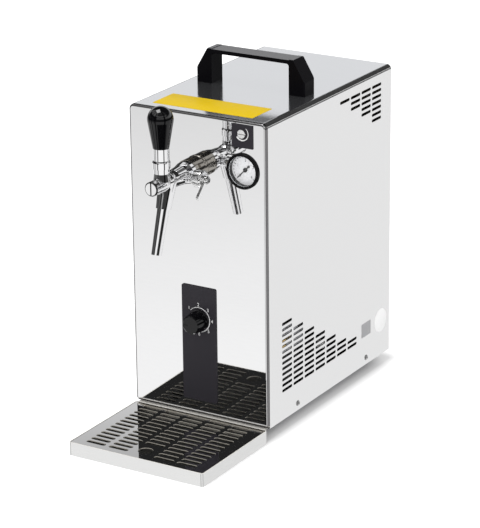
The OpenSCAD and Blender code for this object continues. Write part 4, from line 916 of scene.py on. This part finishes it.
def makeFigures(name, s):
    pieces = []
    for i, figure in enumerate(s["figures"]):
        clearSelection()
        bpy.ops.object.text_add()
        text = bpy.context.object.data
        text.body = figure
        text.size = s["size"]
        text.align_x, text.align_y = "CENTER", "CENTER"
        text.extrude = printThick / 2
        text.resolution_u = figureSteps
        bpy.ops.object.convert(target="MESH")
        piece = bpy.context.object
        angle = math.radians(s["start"] - i * s["step"])
        x = s["centre"][0] + s["radius"] * math.cos(angle)
        z = s["centre"][1] + s["radius"] * math.sin(angle)
        placePiece(piece, faceFront, (x, s["y"], z))
        pieces.append(piece)
    piece = joinPieces(pieces)
    bpy.ops.object.mode_set(mode="EDIT")
    bpy.ops.mesh.select_all(action="SELECT")
    bpy.ops.mesh.remove_doubles(threshold=weldReach)
    bpy.ops.object.mode_set(mode="OBJECT")
    finishPiece(piece, name, s["finish"], "cabinet")


for name, s in figureSettings.items():
    makeFigures(name, s)

tickSettings = {
    "count": 21, "every": 5, "start": 225, "sweep": 270, "outer": 15.9 * mm,
    "long": 3.0 * mm, "short": 1.8 * mm, "wide": 0.65 * mm,
}


def makeTicks(name, s):
    pieces = []
    for i in range(s["count"]):
        length = s["short"] if i % s["every"] else s["long"]
        clearSelection()
        bpy.ops.mesh.primitive_plane_add(size=1, location=(s["outer"] - length / 2, 0, 0))
        piece = bpy.context.object
        piece.scale = (length, s["wide"], 1)
        bpy.ops.object.transform_apply(location=True, rotation=False, scale=True)
        bpy.ops.object.mode_set(mode="EDIT")
        bpy.ops.mesh.extrude_region_move(TRANSFORM_OT_translate={"value": (0, 0, printThick / 2)})
        closeShape()
        placePiece(piece, faceFront, (0, 0, 0))
        angle = math.radians(s["start"] - i * s["sweep"] / (s["count"] - 1))
        placePiece(piece, (0, -angle, 0), (dialCentre[0], dialY, dialCentre[1]))
        pieces.append(piece)
    piece = joinPieces(pieces)
    finishPiece(piece, name, "printBlack", "cabinet")


makeTicks("gaugeTicks", tickSettings)
print("figures and ticks made")

# cross recesses in the cover's screws, black pieces that are painted shade

recessSettings = {
    "arm": 0.85 * mm, "reach": 1.1 * mm, "dip": 0.22 * mm, "thick": 0.4 * mm, "proud": 0.03 * mm,
}


def makeRecess(s):
    clearSelection()
    bpy.ops.mesh.primitive_plane_add(size=s["arm"])
    piece = bpy.context.object
    bpy.ops.object.mode_set(mode="EDIT")
    half = s["arm"] / 2
    slack = half / 10
    for x, y in ((1, 0), (-1, 0), (0, 1), (0, -1)):
        selectPoints(piece, lambda co: abs(co.x * x + co.y * y - half) < slack
                     and abs(co.x * y + co.y * x) < half + slack)
        bpy.ops.mesh.extrude_edges_move(
            TRANSFORM_OT_translate={"value": (x * s["reach"], y * s["reach"], -s["dip"])}
        )
    bpy.ops.mesh.select_all(action="SELECT")
    bpy.ops.mesh.normals_make_consistent(inside=False)
    bpy.ops.mesh.extrude_region_move(TRANSFORM_OT_translate={"value": (0, 0, -s["thick"])})
    closeShape()
    return piece


screwsLow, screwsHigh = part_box("cover_screws")
screwHalf = 3.5 * mm  # half a screw's head
screwZ = (screwsLow.z + screwsHigh.z) / 2
model = makeRecess(recessSettings)
recesses = []
for side, turn in ((screwsHigh.x, faceRight), (screwsLow.x, faceLeft)):
    for y in (screwsLow.y + screwHalf, screwsHigh.y - screwHalf):
        clearSelection()
        model.select_set(True)
        bpy.context.view_layer.objects.active = model
        bpy.ops.object.duplicate(linked=False)
        copy = bpy.context.object
        proud = math.copysign(recessSettings["proud"], side)
        placePiece(copy, turn, (side + proud, y, screwZ))
        recesses.append(copy)
bpy.data.objects.remove(model)
# the recesses take the needle's black as painted shade
finishPiece(joinPieces(recesses), "screwRecessShade", "needleEnamelAndRecessShade", "cabinet")
print("screw recesses made")
